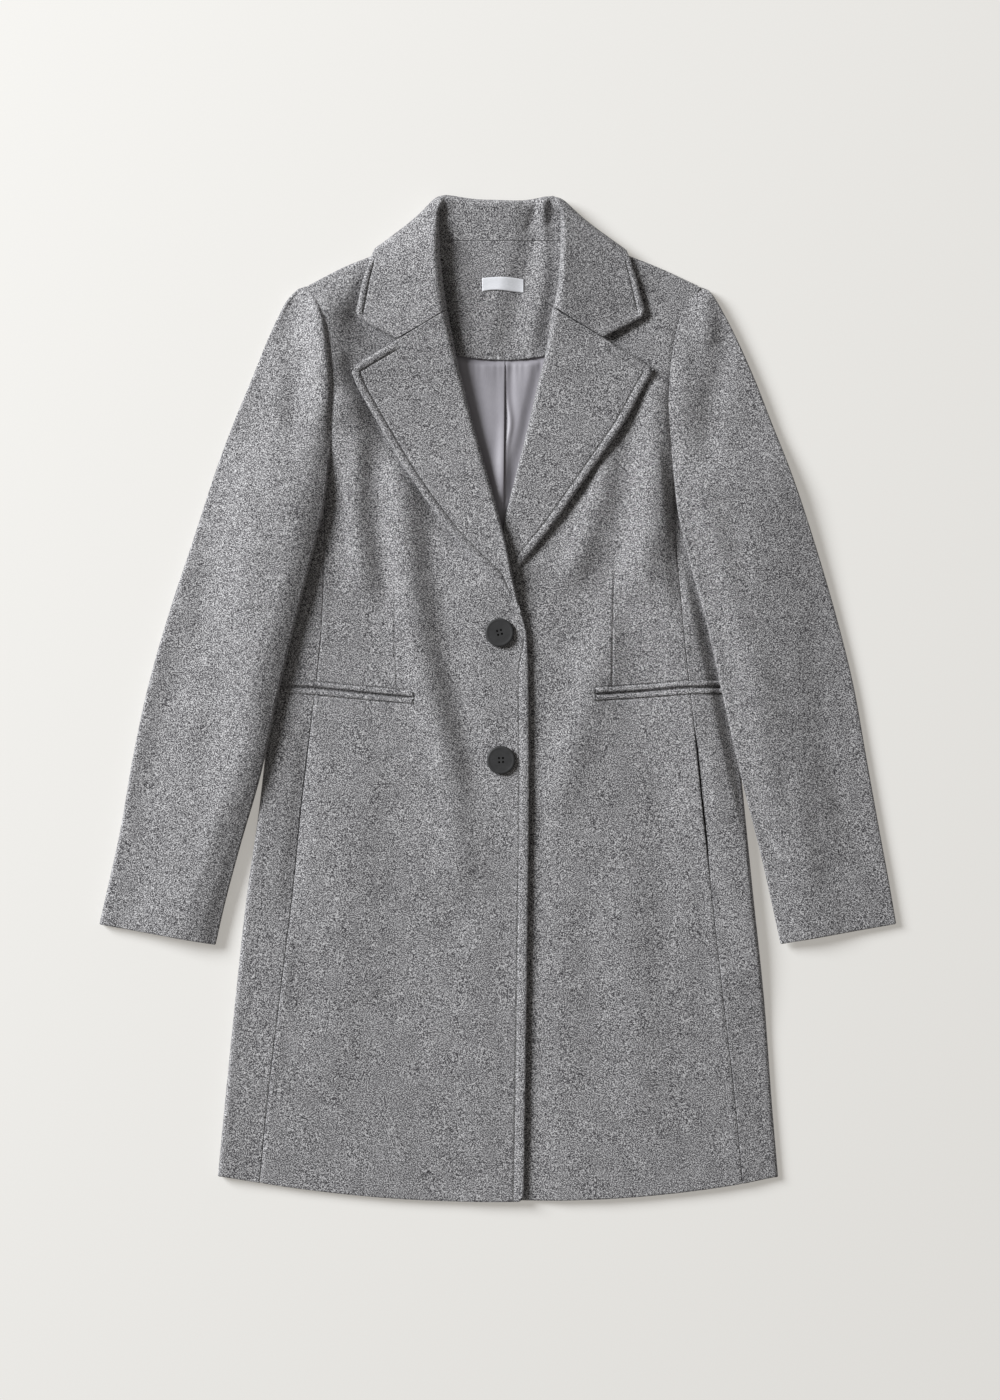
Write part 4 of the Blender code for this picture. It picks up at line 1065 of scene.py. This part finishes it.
def lapel_panel(side):
    """Lapel from its roll line to the topstitched edge; gives the lines of stitches."""
    t = np.asarray(LAPEL[side])
    s = between(t)
    t = smooth(s, t, np.linspace(0, s[-1], 181))
    roll, edge, radius, lift, thin = t[:, 0:2], t[:, 2:4], t[:, 4], t[:, 5], t[:, 6]
    width = np.linalg.norm(edge - roll, axis=1)
    to = (edge - roll) / width[:, None]
    under = roll + to * (radius + 0.5)[:, None]
    low = body_top(side, *plan(under)) - WOOL
    high = low + 2 * radius
    end = body_top(side, *plan(edge))
    reach = bell(np.arange(-60, 61), 26)
    even = np.convolve(np.pad(end, 60, mode="edge"), reach / reach.sum(), mode="valid")
    end = np.maximum(even, end - 1.8) + WOOL + lift
    cols = []
    reach = radius * SQUEEZE[side]
    for f in spaced(40):
        xy = roll + to * (reach + f * (width - reach))[:, None]
        cols.append(np.column_stack([xy, blend(end, high, (1 - f) ** 1.9)]))
    inside = turned(cols[0], roll, low, math.pi, TURN)
    base = np.stack(inside[::-1] + cols, axis=1)
    base, off, sew, line = edge_columns(base, TURN, LAPEL_STITCH, 30)
    down = edge[0] - roll[0]
    down = np.array([-down[1], down[0]]) / np.linalg.norm(down)
    down *= np.sign(down @ (roll[-1] - roll[0]))
    arc = lengths(base, 0)
    lead = base[10, :, :2] - base[0, :, :2]
    lean = np.clip((lead @ down) / np.linalg.norm(lead, axis=1), 0.5, 1)
    first = STRIP[:, None] / lean
    places = np.concatenate([first, blend(first[-1], arc[-1], spaced(110)[1:, None])])
    grid = np.empty((*places.shape, 3))
    far, sewn_at, fading = np.empty((3, *places.shape))
    for j in range(base.shape[1]):
        made = [np.interp(places[:, j], arc[:, j], v) for v in (*base[:, j].T, off[:, j], sew, thin)]
        grid[:, j] = np.column_stack(made[:3])
        far[:, j], sewn_at[:, j], fading[:, j] = made[3:]
    from_top = places * lean
    to_line = far - sewn_at
    open_gorge = fall(*GORGE_OPEN, far)
    lower, span = (step(LAPEL_STITCH - 0.6, LAPEL_STITCH + 0.4, reached) for reached in (from_top, far))
    outer_line = bell(to_line, GROOVE_HALF) * lower
    top_line = bell(from_top - LAPEL_STITCH, GROOVE_HALF) * span * open_gorge
    puff = bell(far - 0.5 * sewn_at, 0.4 * sewn_at)
    puff = np.maximum(puff, bell(from_top - 4.1, 3.3) * open_gorge)
    x, y = plan(grid)
    flat = np.ones(base.shape[1])
    flat[:TURN] = 0
    sewn = np.clip(2 * fading - 1, 0, 1) * STRIP_RISE[side] * (puff - np.maximum(outer_line, top_line))
    grid[:, :, 2] += flat * (sewn + 0.8 * unevenness(x, y))
    grid = round_corner(grid, False, True, 9)
    from_edge = np.minimum(far, from_top + 40 * (1 - open_gorge))
    wall = (WOOL + EDGE_WALL["lapel"] * fall(8, 15, from_edge) * flat) * fading
    gorge = 0.5 + 1.8 * fall(47, 50, far[0])
    rims = (gorge, 0.8, 0.8, 2.3 * fading[:, -1:])
    outer = shell(side + "_lapel", grid, wall, SIGN[side], rims, [side + "_front"])[1]
    corner = int(np.argmin(np.abs(STRIP - LAPEL_STITCH)))
    lines = [outer[corner:int(len(outer) * (0.88 if side == "right" else 0.96)), line]]
    across = [j for j in range(base.shape[1]) if LAPEL_STITCH - 0.1 < far[corner, j] < 48.5]
    lines.append(outer[corner, across])
    last = across[0] if far[corner, across[0]] > far[corner, across[-1]] else across[-1]
    turn_at = outer[corner:1:-1, last]
    aside = np.linspace(0, 2.2, len(turn_at))[:, None] * np.array([-SIGN[side], 0.6, 0])
    lines.append(turn_at + aside)
    return lines


def collar_half(side, across, count, fold_steps, back_shares):
    """Rows of the collar from the gorge over the shoulder fold to the centre back."""
    t = np.asarray(COLLAR[side])
    fold = t[-1].copy()
    share = spaced(across + 1)
    along_edge = t[-2, 2:4] - fold[2:4]
    along_edge /= np.linalg.norm(along_edge)
    line = fold[2:4] - fold[0:2]
    normal = np.array([line[1], -line[0]]) / np.linalg.norm(line)
    normal *= -np.sign(normal[1])
    begin = fold.copy()
    begin[0:2] = TURNING[side][:2]
    begin[2:4] += along_edge * fold[5] / 2 / (along_edge @ normal)
    t[-1] = begin
    s = between(t)
    spread = smooth(s, t, s[-1] * spaced(count + 1))
    drop = np.array(NOTCH[side]) - (t[0, 0:2] + t[0, 2:4]) / 2
    rows = []
    for k, r in enumerate(spread):
        roll, edge, radius, sweep = r[0:2], r[2:4], r[6], math.radians(r[7])
        width = np.linalg.norm(edge - roll)
        to = (edge - roll) / width
        begin_at = SQUEEZE[side] * radius * math.sin(min(sweep, math.pi / 2))
        pull = drop * (1 - k / count) ** 4
        flat = []
        for f in share:
            place = (begin_at + f * (width - begin_at)) / width
            kink = 1 - abs(2 * place - 1)
            z = blend(r[5], r[4], (1 - f) ** 1.6)
            flat.append((*(roll + to * place * width + pull * kink), z))
        flat = np.array(flat)
        around = turned(flat[:1], roll[None, :], flat[:1, 2] - 2 * radius, sweep, TURN)
        rows.append(np.vstack([np.vstack(around)[::-1], flat]))
    last = rows[-1]
    first = len(last) - len(share)
    crest = SQUEEZE[side] * fold[6] / np.linalg.norm(line)
    inner = np.linalg.norm(last[:first, :2] - last[first, :2], axis=1) / (SQUEEZE[side] * fold[6])
    place = np.concatenate([crest * (1 - inner), blend(crest, 1, share)])[:, None]
    hump = TURNING[side][2] * (place / 0.14 * np.exp(1 - place / 0.14)) ** 1.6
    target = blend(fold[0:2], fold[2:4], place) - normal * hump
    middle = np.where(np.arange(len(last)) < first, last[first, 2], last[:, 2]) / 2
    for a in np.linspace(0, math.pi, fold_steps + 1)[1:]:
        xy = blend(last[:, :2], target, math.sin(a))
        rows.append(np.column_stack([xy, blend(middle, last[:, 2], math.cos(a))]))
    radius, sweep = 4.1, math.radians(70)
    begin_at = radius * math.sin(sweep)
    depth = COLLAR_TOP - begin_at - COLLAR_HEM
    centre = [(CENTRE_X, COLLAR_TOP - begin_at - f * depth, 0) for f in share]
    roll = [
        (CENTRE_X, COLLAR_TOP - radius * (math.sin(sweep) - math.sin(a)), radius * (1 - math.cos(a)))
        for a in np.linspace(sweep, 0, first + 1)[:-1]
    ]
    centre = np.array(roll + centre)
    under = rows[-1]
    for f in back_shares:
        rows.append(blend(under, centre, f))
    return rows


def collar_panel():
    """Collar of two halves; gives the lines of stitches."""
    leaf, fold_steps = 44, 14
    back_shares = spaced(22)[1:]
    halves = {side: collar_half(side, 40, leaf, fold_steps, back_shares) for side in SIGN}
    base = np.array(halves["right"] + halves["left"][-2::-1])
    count = len(base)
    base = rows_at(base, hem_rows(count, True, True))
    grid, far, sew, line = edge_columns(base, TURN, COLLAR_STITCH, 34)
    number = np.minimum(np.arange(len(grid)), np.arange(len(grid))[::-1]).astype(float)
    leaf_only = fall(leaf - 2, leaf + 4, number)
    gorge = np.minimum(lengths(grid, 0), lengths(grid[::-1], 0)[::-1])
    sewn = leaf_only[:, None] * step(7, 9, gorge)
    to_line = far - sew[:, None]
    relief = sewn * -1.2 * bell(to_line, GROOVE_HALF)
    relief += leaf_only[:, None] * 0.9 * bell(far - 0.5 * sew[:, None], 0.4 * sew[:, None])
    flat = np.ones(grid.shape[1])
    flat[:TURN + 1] = 0
    relief += leaf_only[:, None] * 0.8 * unevenness(*plan(grid))
    grid[:, :, 2] += relief * flat
    grid = round_corner(grid, False, True, 8)
    grid = round_corner(grid, True, True, 8)
    wall = WOOL + EDGE_WALL["collar"] * leaf_only[:, None] * fall(8, 15, far) * flat
    ends = 2.2 * bell(gorge - 4, 3.2) * (far < GORGE_OPEN[0]) * leaf_only[:, None]
    right_half = (np.arange(len(grid)) < len(grid) / 2)[:, None]
    wall = wall + 2.6 * right_half * bell(gorge, 9) * fall(30, 44, far) * flat
    grid[:, :, 2] += 0.3 * ends * flat
    rims = (*(0.5 + 1.6 * (far[end] < GORGE_OPEN[0]) for end in (0, -1)), 0.8, 2.2)
    outer = shell("collar", grid, wall, 1, rims, ["right_front", "left_front"])[1]
    rows = [i for i in range(len(grid)) if sewn[i, line] > 0.6]
    half = len(grid) / 2
    return [outer[[i for i in rows if i < half], line], outer[[i for i in rows if i >= half], line]]


def facing_top(x, y):
    """Height of the neck facing's outside."""
    crease = np.interp(y, *FACING_FALL)
    roll = np.interp(y, *RIGHT_OF_NECK)
    edge = np.interp(y, *LEFT_OF_NECK)
    left = 3.4 * step(edge - 2, edge + 10, x) * fall(crease - 13, crease + 11, x)
    crest = 3.2 * step(crease + 9, roll - 14, x) * fall(roll - 14, roll - 1, x)
    soft = (left + crest) * (0.35 + 0.65 * step(320, 350, y)) + 0.7 * unevenness(x, y)
    return 2 * WOOL + FACING_GAP + collar_lift(x, y) + soft


def neck_pieces():
    """Collar stand and back neck facing."""
    u = np.linspace(-1, 1, 101)
    wing = step(0.66, 1, np.abs(u))
    rise = step(0.3, 0.8, np.abs(u))
    table = np.asarray(COLLAR_EDGE)
    x = CENTRE_X + u * 58.6
    edge_y = smooth(table[:, 0], table[:, 1], x)[:, 0]
    base = facing_top(x, 0 * x + NECK_Y)
    rows = []
    shares = np.concatenate([[0, 0.006, 0.015, 0.03], np.linspace(0.06, 1, 26)])
    for f in shares:
        end = WING_Z[0] + WING_Z[1] * (x < 0) + 5.2 * step(0.72, 1, f)
        top = (base + 3.4 * f**1.2 + 3 * rise * (x > 0) * f**2) * (1 - wing) + end * wing
        y = NECK_Y + f * (edge_y - 6.6 - NECK_Y)
        rows.append(np.column_stack([x, y, top]))
    edge = np.column_stack([x, edge_y])
    grid = np.array(rows + turned(rows[-1], edge, 0, math.radians(95), TURN))
    x, y = plan(grid)
    flat = np.concatenate([np.ones(len(rows)), fall(0, 1, np.linspace(0.1, 0.9, TURN))])[:, None]
    grid[:, :, 2] += flat * folds(STAND_FOLDS, x, y) * step(NECK_Y, NECK_Y + 14, y)
    shell("collar_stand", grid, WOOL, -1, (0.35, 0.8, 0, 0), ["back"])
    rows = []
    shares = [[0, 0.002, 0.005, 0.01], np.linspace(0.02, 0.985, 50), [0.99, 0.995, 0.998, 1]]
    shares = np.concatenate(shares)
    for f in shares:
        low = FACING_LOW + 6 * u**2
        y = NECK_Y - 0.1 + (low - NECK_Y) * f
        half = FACING_HALF[0] + 2 + 0.6 * FACING_HALF[1] * step(0.35, 1, f)
        rows.append(np.column_stack([CENTRE_X + 1.5 * f + u * half, y]))
    xy = np.array(rows)
    x, y = plan(xy)
    pucker = 0.4 * np.sin(x * 0.62 + 0.8 * np.sin(x * 0.21)) * bell(y - 325, 6)
    sides = step(0.7, 1, np.abs(u))[None, :]
    dip = 1.6 * sides * step(0.4, 0.8, shares)[:, None]
    high = facing_top(x, y)
    wing = (WING_Z[0] + WING_Z[1] * (x < 0) - high) * wing[None, :] * fall(0.05, 0.36, shares)[:, None]
    grid = np.dstack([xy, high + pucker + wing - dip])
    wall = (WOOL - 1 * step(0.8, 1, shares)[:, None]) * (1 - 0.4 * sides)
    shell("back_neck_facing", grid, wall, 1, (0.35, 0.8, 0, 0), ["back"])


def lining_piece():
    """Lining with a pleat at the centre: one half lies over the other, which ripples open beside the fold."""
    rows = []
    for f in spaced(110):
        half = 58 - 38 * f
        mid = 6.2 - 1.6 * f
        y = 325 - 185 * f
        gap = 3.6 * bell(f - 0.34, 0.10) + 0.9 * bell(f - 0.72, 0.10)
        lift = 0.5 + 1.1 * step(0.02, 0.3, f) * fall(0.6, 0.9, f)
        left = np.linspace(1, 0.015, 44)
        left = np.column_stack([mid - half * left, 1.6 + lift * bell(half * left, 5.5)])
        a = np.linspace(0.25, math.pi, 8)
        turn = np.column_stack([mid + 0.45 * np.sin(a), left[-1, 1] - 0.45 + 0.45 * np.cos(a)])
        below = np.linspace(0.1, 1, 7)
        below = np.column_stack([mid - 6 * below, turn[-1, 1] * (1 - below) + 0.62 * below])
        back_turn = np.column_stack([mid - 6 - 0.3 * np.sin(a), 0.32 + 0.3 * np.cos(a)])
        t = np.linspace(0.02, 1, 60)
        right = np.column_stack([mid - 6 + (half + 6) * t, np.zeros(60)])
        off = right[:, 0] - mid
        right[:, 1] += (1.1 + 0.2 * gap) * bell(off - 2.6 - gap, 2.8)
        right[:, 1] += 0.5 * bell(off - 12 - gap, 4.5) * (1 - 0.6 * f)
        row = np.vstack([left, turn, below, back_turn, right])
        rise = 6 * ((row[:, 0] - CENTRE_X) / 60) ** 2 * (1 - f)
        rows.append(np.column_stack([row[:, 0], y + rise, row[:, 1]]))
    grid = np.array(rows)
    x, y = plan(grid)
    pucker = 0.16 * np.sin(x * 0.9 + 1.1 * np.sin(x * 0.31)) * bell(FACING_LOW - y, 16)
    roll = np.interp(y, *RIGHT_OF_NECK)
    crest = 2.3 * step(roll - 30, roll - 11, x) * fall(roll - 11, roll - 1, x)
    bound = step(0.016, 0.05, spaced(len(grid)))[:, None]
    grid[:, :, 2] = WOOL + 0.5 + 0.4 * grid[:, :, 2] * (1 - bound) + bound * (
        0.5 + grid[:, :, 2] + folds(LINING_FOLDS, x, y) + crest + pucker + bell(FACING_LOW - y, 20)
    )
    hidden = np.maximum(step(1, 7, x - roll), step(1, 7, np.interp(y, *LEFT_OF_NECK) - x))
    hidden = np.maximum(hidden, 0.85 * fall(174, 196, y))
    flat = WOOL + 0.4
    grid[:, :, 2] = blend(flat, grid[:, :, 2], 1 - 0.85 * hidden)
    shell("back_lining", grid, LINING_WALL, 1, (0.2, 0.2, 0.2, 0.2), ["back"], "lining")


def label_piece():
    """Label, bowed and lifted a little along its lower edge; gives the lines of stitches."""
    x = np.linspace(*LABEL_X, 41)
    share = (x - LABEL_X[0]) / (LABEL_X[1] - LABEL_X[0])
    rows = []
    for f in spaced(17):
        bow = 1.2 - 0.004 * (x - CENTRE_X) ** 2
        curl = 0.5 * np.sin(share * math.pi * 2) * f
        rows.append(np.column_stack([x, blend(*LABEL_Y, f) + bow + curl]))
    xy = np.array(rows)
    lift = 0.5 * step(0.4, 1, spaced(17))[:, None] * np.abs(np.sin(share * math.pi))
    grid = np.dstack([xy, facing_top(*plan(xy)) + 0.7 + lift])
    outer = shell("label", grid, LABEL_WALL, 1, (0.3, 0.3, 0.3, 0.3), ["back_neck_facing"], "label")[1]
    return [outer[1:-1, 1], outer[1:-1, -2]]


def welt_piece(side, above):
    """Upper or lower welt along a pocket's mouth."""
    line = along(POCKET[side], spaced(96))
    line[:, 1] = mouth(side, line[:, 0])
    slack = 0.75 * np.sin(math.pi * spaced(96) ** 1.7) ** 0.9
    near = SLIT / 2 + 0.3 + slack
    far = SLIT / 2 + WELT + 0.2
    low, high = (near, far) if above else (0 * near - far, -near)
    shares = np.concatenate([RIM * 0.25, np.linspace(0.25, 0.75, 5)[:-1], 0.75 + (1 - RIM[::-1]) * 0.25])
    rows = [line + np.column_stack([0 * slack, blend(low, high, s)]) for s in shares]
    xy = np.array(rows)
    x, y = plan(xy)
    crown = 0.75 * np.sin(math.pi * shares)[:, None] ** 0.7
    grid = np.dstack([xy, surface(side, x, y) + 0.15 + crown])
    node = side + ("_pocket_upper_welt" if above else "_pocket_lower_welt")
    made = shell(node, grid, WELT_WALL, -SIGN[side], (1.1, 1.1, 1, 0.8), None)[0]
    TRIMS.setdefault(side + "_front", []).append(made)


# Sewing and buttons


def stitches(node, lines, look, slot="wool", length=2.7, gap=0.8, thick=0.42, lift=0.12):
    """Rows of sewn stitches on a panel, ends dipping into the cloth, joined as one mesh."""
    ring, bends = 6, 5
    points, quads = [], []
    for line in lines:
        s = stations(line)
        for k in range(int(s[-1] / (length + gap))):
            at = k * (length + gap) + np.linspace(0, length, bends)
            path = np.stack([np.interp(at, s, line[:, c]) for c in range(3)], axis=1)
            path[:, 2] += lift - 0.45 * np.abs(np.linspace(-1, 1, bends)) ** 3
            ahead = unit(np.gradient(path, axis=0))
            side = unit(np.cross(ahead, (0, 0, 1)))
            up = np.cross(side, ahead)
            size = thick * np.array([0.55, 0.95, 1, 0.95, 0.55])[:, None]
            one = len(points)
            for r in range(ring):
                a = 2 * math.pi * r / ring
                points += list(path + size * (math.cos(a) * side + math.sin(a) * up))
            for r in range(ring):
                n = (r + 1) % ring
                for b in range(bends - 1):
                    p, q = one + r * bends + b, one + n * bends + b
                    quads.append((p, q, q + 1, p + 1))
            for b in (0, bends - 1):
                loop = [one + r * bends + b for r in range(ring)]
                if b == 0:
                    loop = loop[::-1]
                quads.append((loop[0], loop[1], loop[2], loop[3]))
                quads.append((loop[0], loop[3], loop[4], loop[5]))
    made = take_place(mesh_object("coat_" + node + "_stitches", np.array(points), quads, LOOKS[look]), slot)
    TRIMS.setdefault(node, []).append(made)


def button_piece(name):
    """Flat button with a bevelled edge, a shallow dished face and four holes."""
    x0, y0, turn = BUTTON_AT[name]
    a = np.linspace(0, 2 * math.pi, 65)[:-1]
    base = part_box(name)[0][2] / MM
    r = BUTTON_D / 2
    section = (
        (0, 0), (0.86, 0), (0.95, 0.08), (0.99, 0.2), (1, 0.32), (1, 0.68), (0.988, 0.83),
        (0.955, 0.94), (0.915, 0.985), (0.88, 1), (0.85, 0.995), (0.82, 0.975), (0.79, 0.955),
        (0.74, 0.945), (0.4, 0.935), (0, 0.93),
    )
    rings = [(s * r, base + h * BUTTON_T) for s, h in section]
    points = [(x0, y0, rings[0][1])]
    for radius, z in rings[1:-1]:
        points += [(x0 + radius * math.cos(t), y0 + radius * math.sin(t), z) for t in a]
    points.append((x0, y0, rings[-1][1]))
    n = len(a)
    last = len(points) - 1
    faces = [(0, 1 + (k + 1) % n, 1 + k) for k in range(n)]
    for ring in range(len(rings) - 3):
        one = 1 + ring * n
        for k in range(n):
            faces.append((one + k, one + (k + 1) % n, one + n + (k + 1) % n, one + n + k))
    one = last - n
    faces += [(one + k, one + (k + 1) % n, last) for k in range(n)]
    mesh = bpy.data.meshes.new("coat_" + name)
    mesh.from_pydata([tuple(v * MM for v in p) for p in points], [], faces)
    mesh.materials.append(LOOKS["button"])
    disc = bpy.data.objects.new("coat_" + name, mesh)
    bpy.context.scene.collection.objects.link(disc)
    turn = math.radians(turn)
    drills = []
    for sx, sy in ((1, 1), (1, -1), (-1, -1), (-1, 1)):
        dx = HOLE_AT * (sx * math.cos(turn) - sy * math.sin(turn))
        dy = HOLE_AT * (sx * math.sin(turn) + sy * math.cos(turn))
        bpy.ops.mesh.primitive_cylinder_add(
            vertices=20, radius=HOLE_D / 2 * MM, depth=12 * MM,
            location=((x0 + dx) * MM, (y0 + dy) * MM, (base + 2) * MM),
        )
        drill = bpy.context.object
        cut = disc.modifiers.new("hole", "BOOLEAN")
        cut.operation = "DIFFERENCE"
        cut.solver = "EXACT"
        cut.object = drill
        drills.append(drill)
    shown = disc.evaluated_get(bpy.context.evaluated_depsgraph_get())
    disc.data = bpy.data.meshes.new_from_object(shown)
    disc.modifiers.clear()
    for drill in drills:
        bpy.data.objects.remove(drill)
    for p in disc.data.polygons:
        p.use_smooth = True
    disc.data.set_sharp_from_angle(angle=math.radians(38))
    disc.pass_index = len(PIECES) + 1
    PIECES.append(disc)
    take_place(disc, "button", name)


def bar_tack(side):
    """Line of stitches across the inner end of a pocket."""
    x = np.full(24, POCKET[side][0][0] - SIGN[side] * 0.3)
    y = POCKET[side][0][1] + np.linspace(-WELT - 1, WELT + 1, 24)
    line = np.column_stack([x, y, surface(side, x, y) + 0.25])
    stitches(side + "_pocket_tack", [line], "slit", "wool", 2.6, 0.3, 0.5, 0.1)
    TRIMS[side + "_front"] += TRIMS.pop(side + "_pocket_tack")


back_lines = {}
for side_name in SIGN:
    edge_lines, seam_line = front_panel(side_name)
    if edge_lines:
        stitches(side_name + "_front", edge_lines, "thread")
    back_lines[side_name] = side_panel(side_name, seam_line)
    sleeve_panels(side_name)
    stitches(side_name + "_lapel", lapel_panel(side_name), "thread")
    welt_piece(side_name, True)
    welt_piece(side_name, False)
    bar_tack(side_name)
back_panel(back_lines["right"], back_lines["left"])
stitches("collar", collar_panel(), "thread")
neck_pieces()
lining_piece()
stitches("label", label_piece(), "label", "label", 1.6, 0.6, 0.22, 0.05)
for button_name in BUTTON_AT:
    button_piece(button_name)
# The near-black mark at 64.3 is painted shade of the open buttonhole slit beside the upper button; the mark at
# 80.6 is grey thread.
for place_y, place_x, look_of in ((64.3, (-17.4, -11.9), "slit"), (80.6, (-17, -13), "thread")):
    ends = np.linspace(place_x[0], place_x[1], 12)
    mark = np.column_stack([ends, 0 * ends + place_y, surface("right", ends, place_y) - 0.1])
    long = stations(mark)[-1] - 0.2
    stitches("buttonhole_" + str(int(place_y)), [mark], look_of, "wool", long, 0.1, 0.45, 0.1)
TRIMS["right_front"] += TRIMS.pop("buttonhole_64") + TRIMS.pop("buttonhole_80")


# Floor, light and camera


FLOOR_HALF = 6  # metres


def stage():
    look = plain_material(
        "floor_paper", ((700, 2, 0.5),), (0.505, 0.505, 0.50), (0.515, 0.515, 0.51), 0.9, 0,
        Emission_Color=(1, 0.955, 0.885, 1), Emission_Strength=0.335, Specular_IOR_Level=0.1,
    )
    mesh = bpy.data.meshes.new("floor")
    corners = ((-1, -1), (1, -1), (1, 1), (-1, 1))
    mesh.from_pydata([(x * FLOOR_HALF, y * FLOOR_HALF, 0) for x, y in corners], [], [(0, 1, 2, 3)])
    mesh.materials.append(look)
    floor = bpy.data.objects.new("floor", mesh)
    floor.location = (0, 0, -0.0003)
    bpy.context.scene.collection.objects.link(floor)


def area_light(name, place, target, size, power, colour):
    data = bpy.data.lights.new(name, "AREA")
    data.shape = "DISK"
    data.size = size
    data.energy = power
    data.color = colour
    lamp = bpy.data.objects.new(name, data)
    lamp.location = place
    lamp.visible_camera = False
    lamp.rotation_euler = (Vector(target) - Vector(place)).to_track_quat("-Z", "Y").to_euler()
    bpy.context.scene.collection.objects.link(lamp)


stage()
KEY_TURN = math.radians(61)  # from the top of the picture to its left
KEY_RISE = math.radians(31)
KEY_FAR = 7
KEY_SIZE = 3.5
KEY_POWER = 790
ROOM_LIGHT = 0.17
area_light(
    "key",
    (
        -KEY_FAR * math.cos(KEY_RISE) * math.sin(KEY_TURN),
        KEY_FAR * math.cos(KEY_RISE) * math.cos(KEY_TURN),
        KEY_FAR * math.sin(KEY_RISE),
    ),
    (0, 0, 0), KEY_SIZE, KEY_POWER, (0.975, 0.99, 1),
)
world = bpy.data.worlds.new("studio") if bpy.context.scene.world is None else bpy.context.scene.world
bpy.context.scene.world = world
world.use_nodes = True
world.node_tree.nodes["Background"].inputs["Color"].default_value = (1, 0.962, 0.905, 1)
world.node_tree.nodes["Background"].inputs["Strength"].default_value = ROOM_LIGHT
bpy.context.scene.view_settings.view_transform = "Standard"

SCALE = 0.95  # millimetres to a pixel of the frame at the coat's height
FRAME_HIGH = 1400  # pixels
FRAME_MIDDLE = (2.04, -1.19)
COAT_HEIGHT = 8  # where the scale holds
SENSOR = 36
LENS = 85
camera_data = bpy.data.cameras.new("camera")
camera_data.lens = LENS
camera_data.sensor_width = SENSOR
camera = bpy.data.objects.new("camera", camera_data)
distance = FRAME_HIGH * SCALE / 2 / (SENSOR / 2 / LENS)
camera.location = (FRAME_MIDDLE[0] * MM, FRAME_MIDDLE[1] * MM, (distance + COAT_HEIGHT) * MM)
camera.rotation_euler = (0, 0, 0)
bpy.context.scene.collection.objects.link(camera)
bpy.context.scene.camera = camera
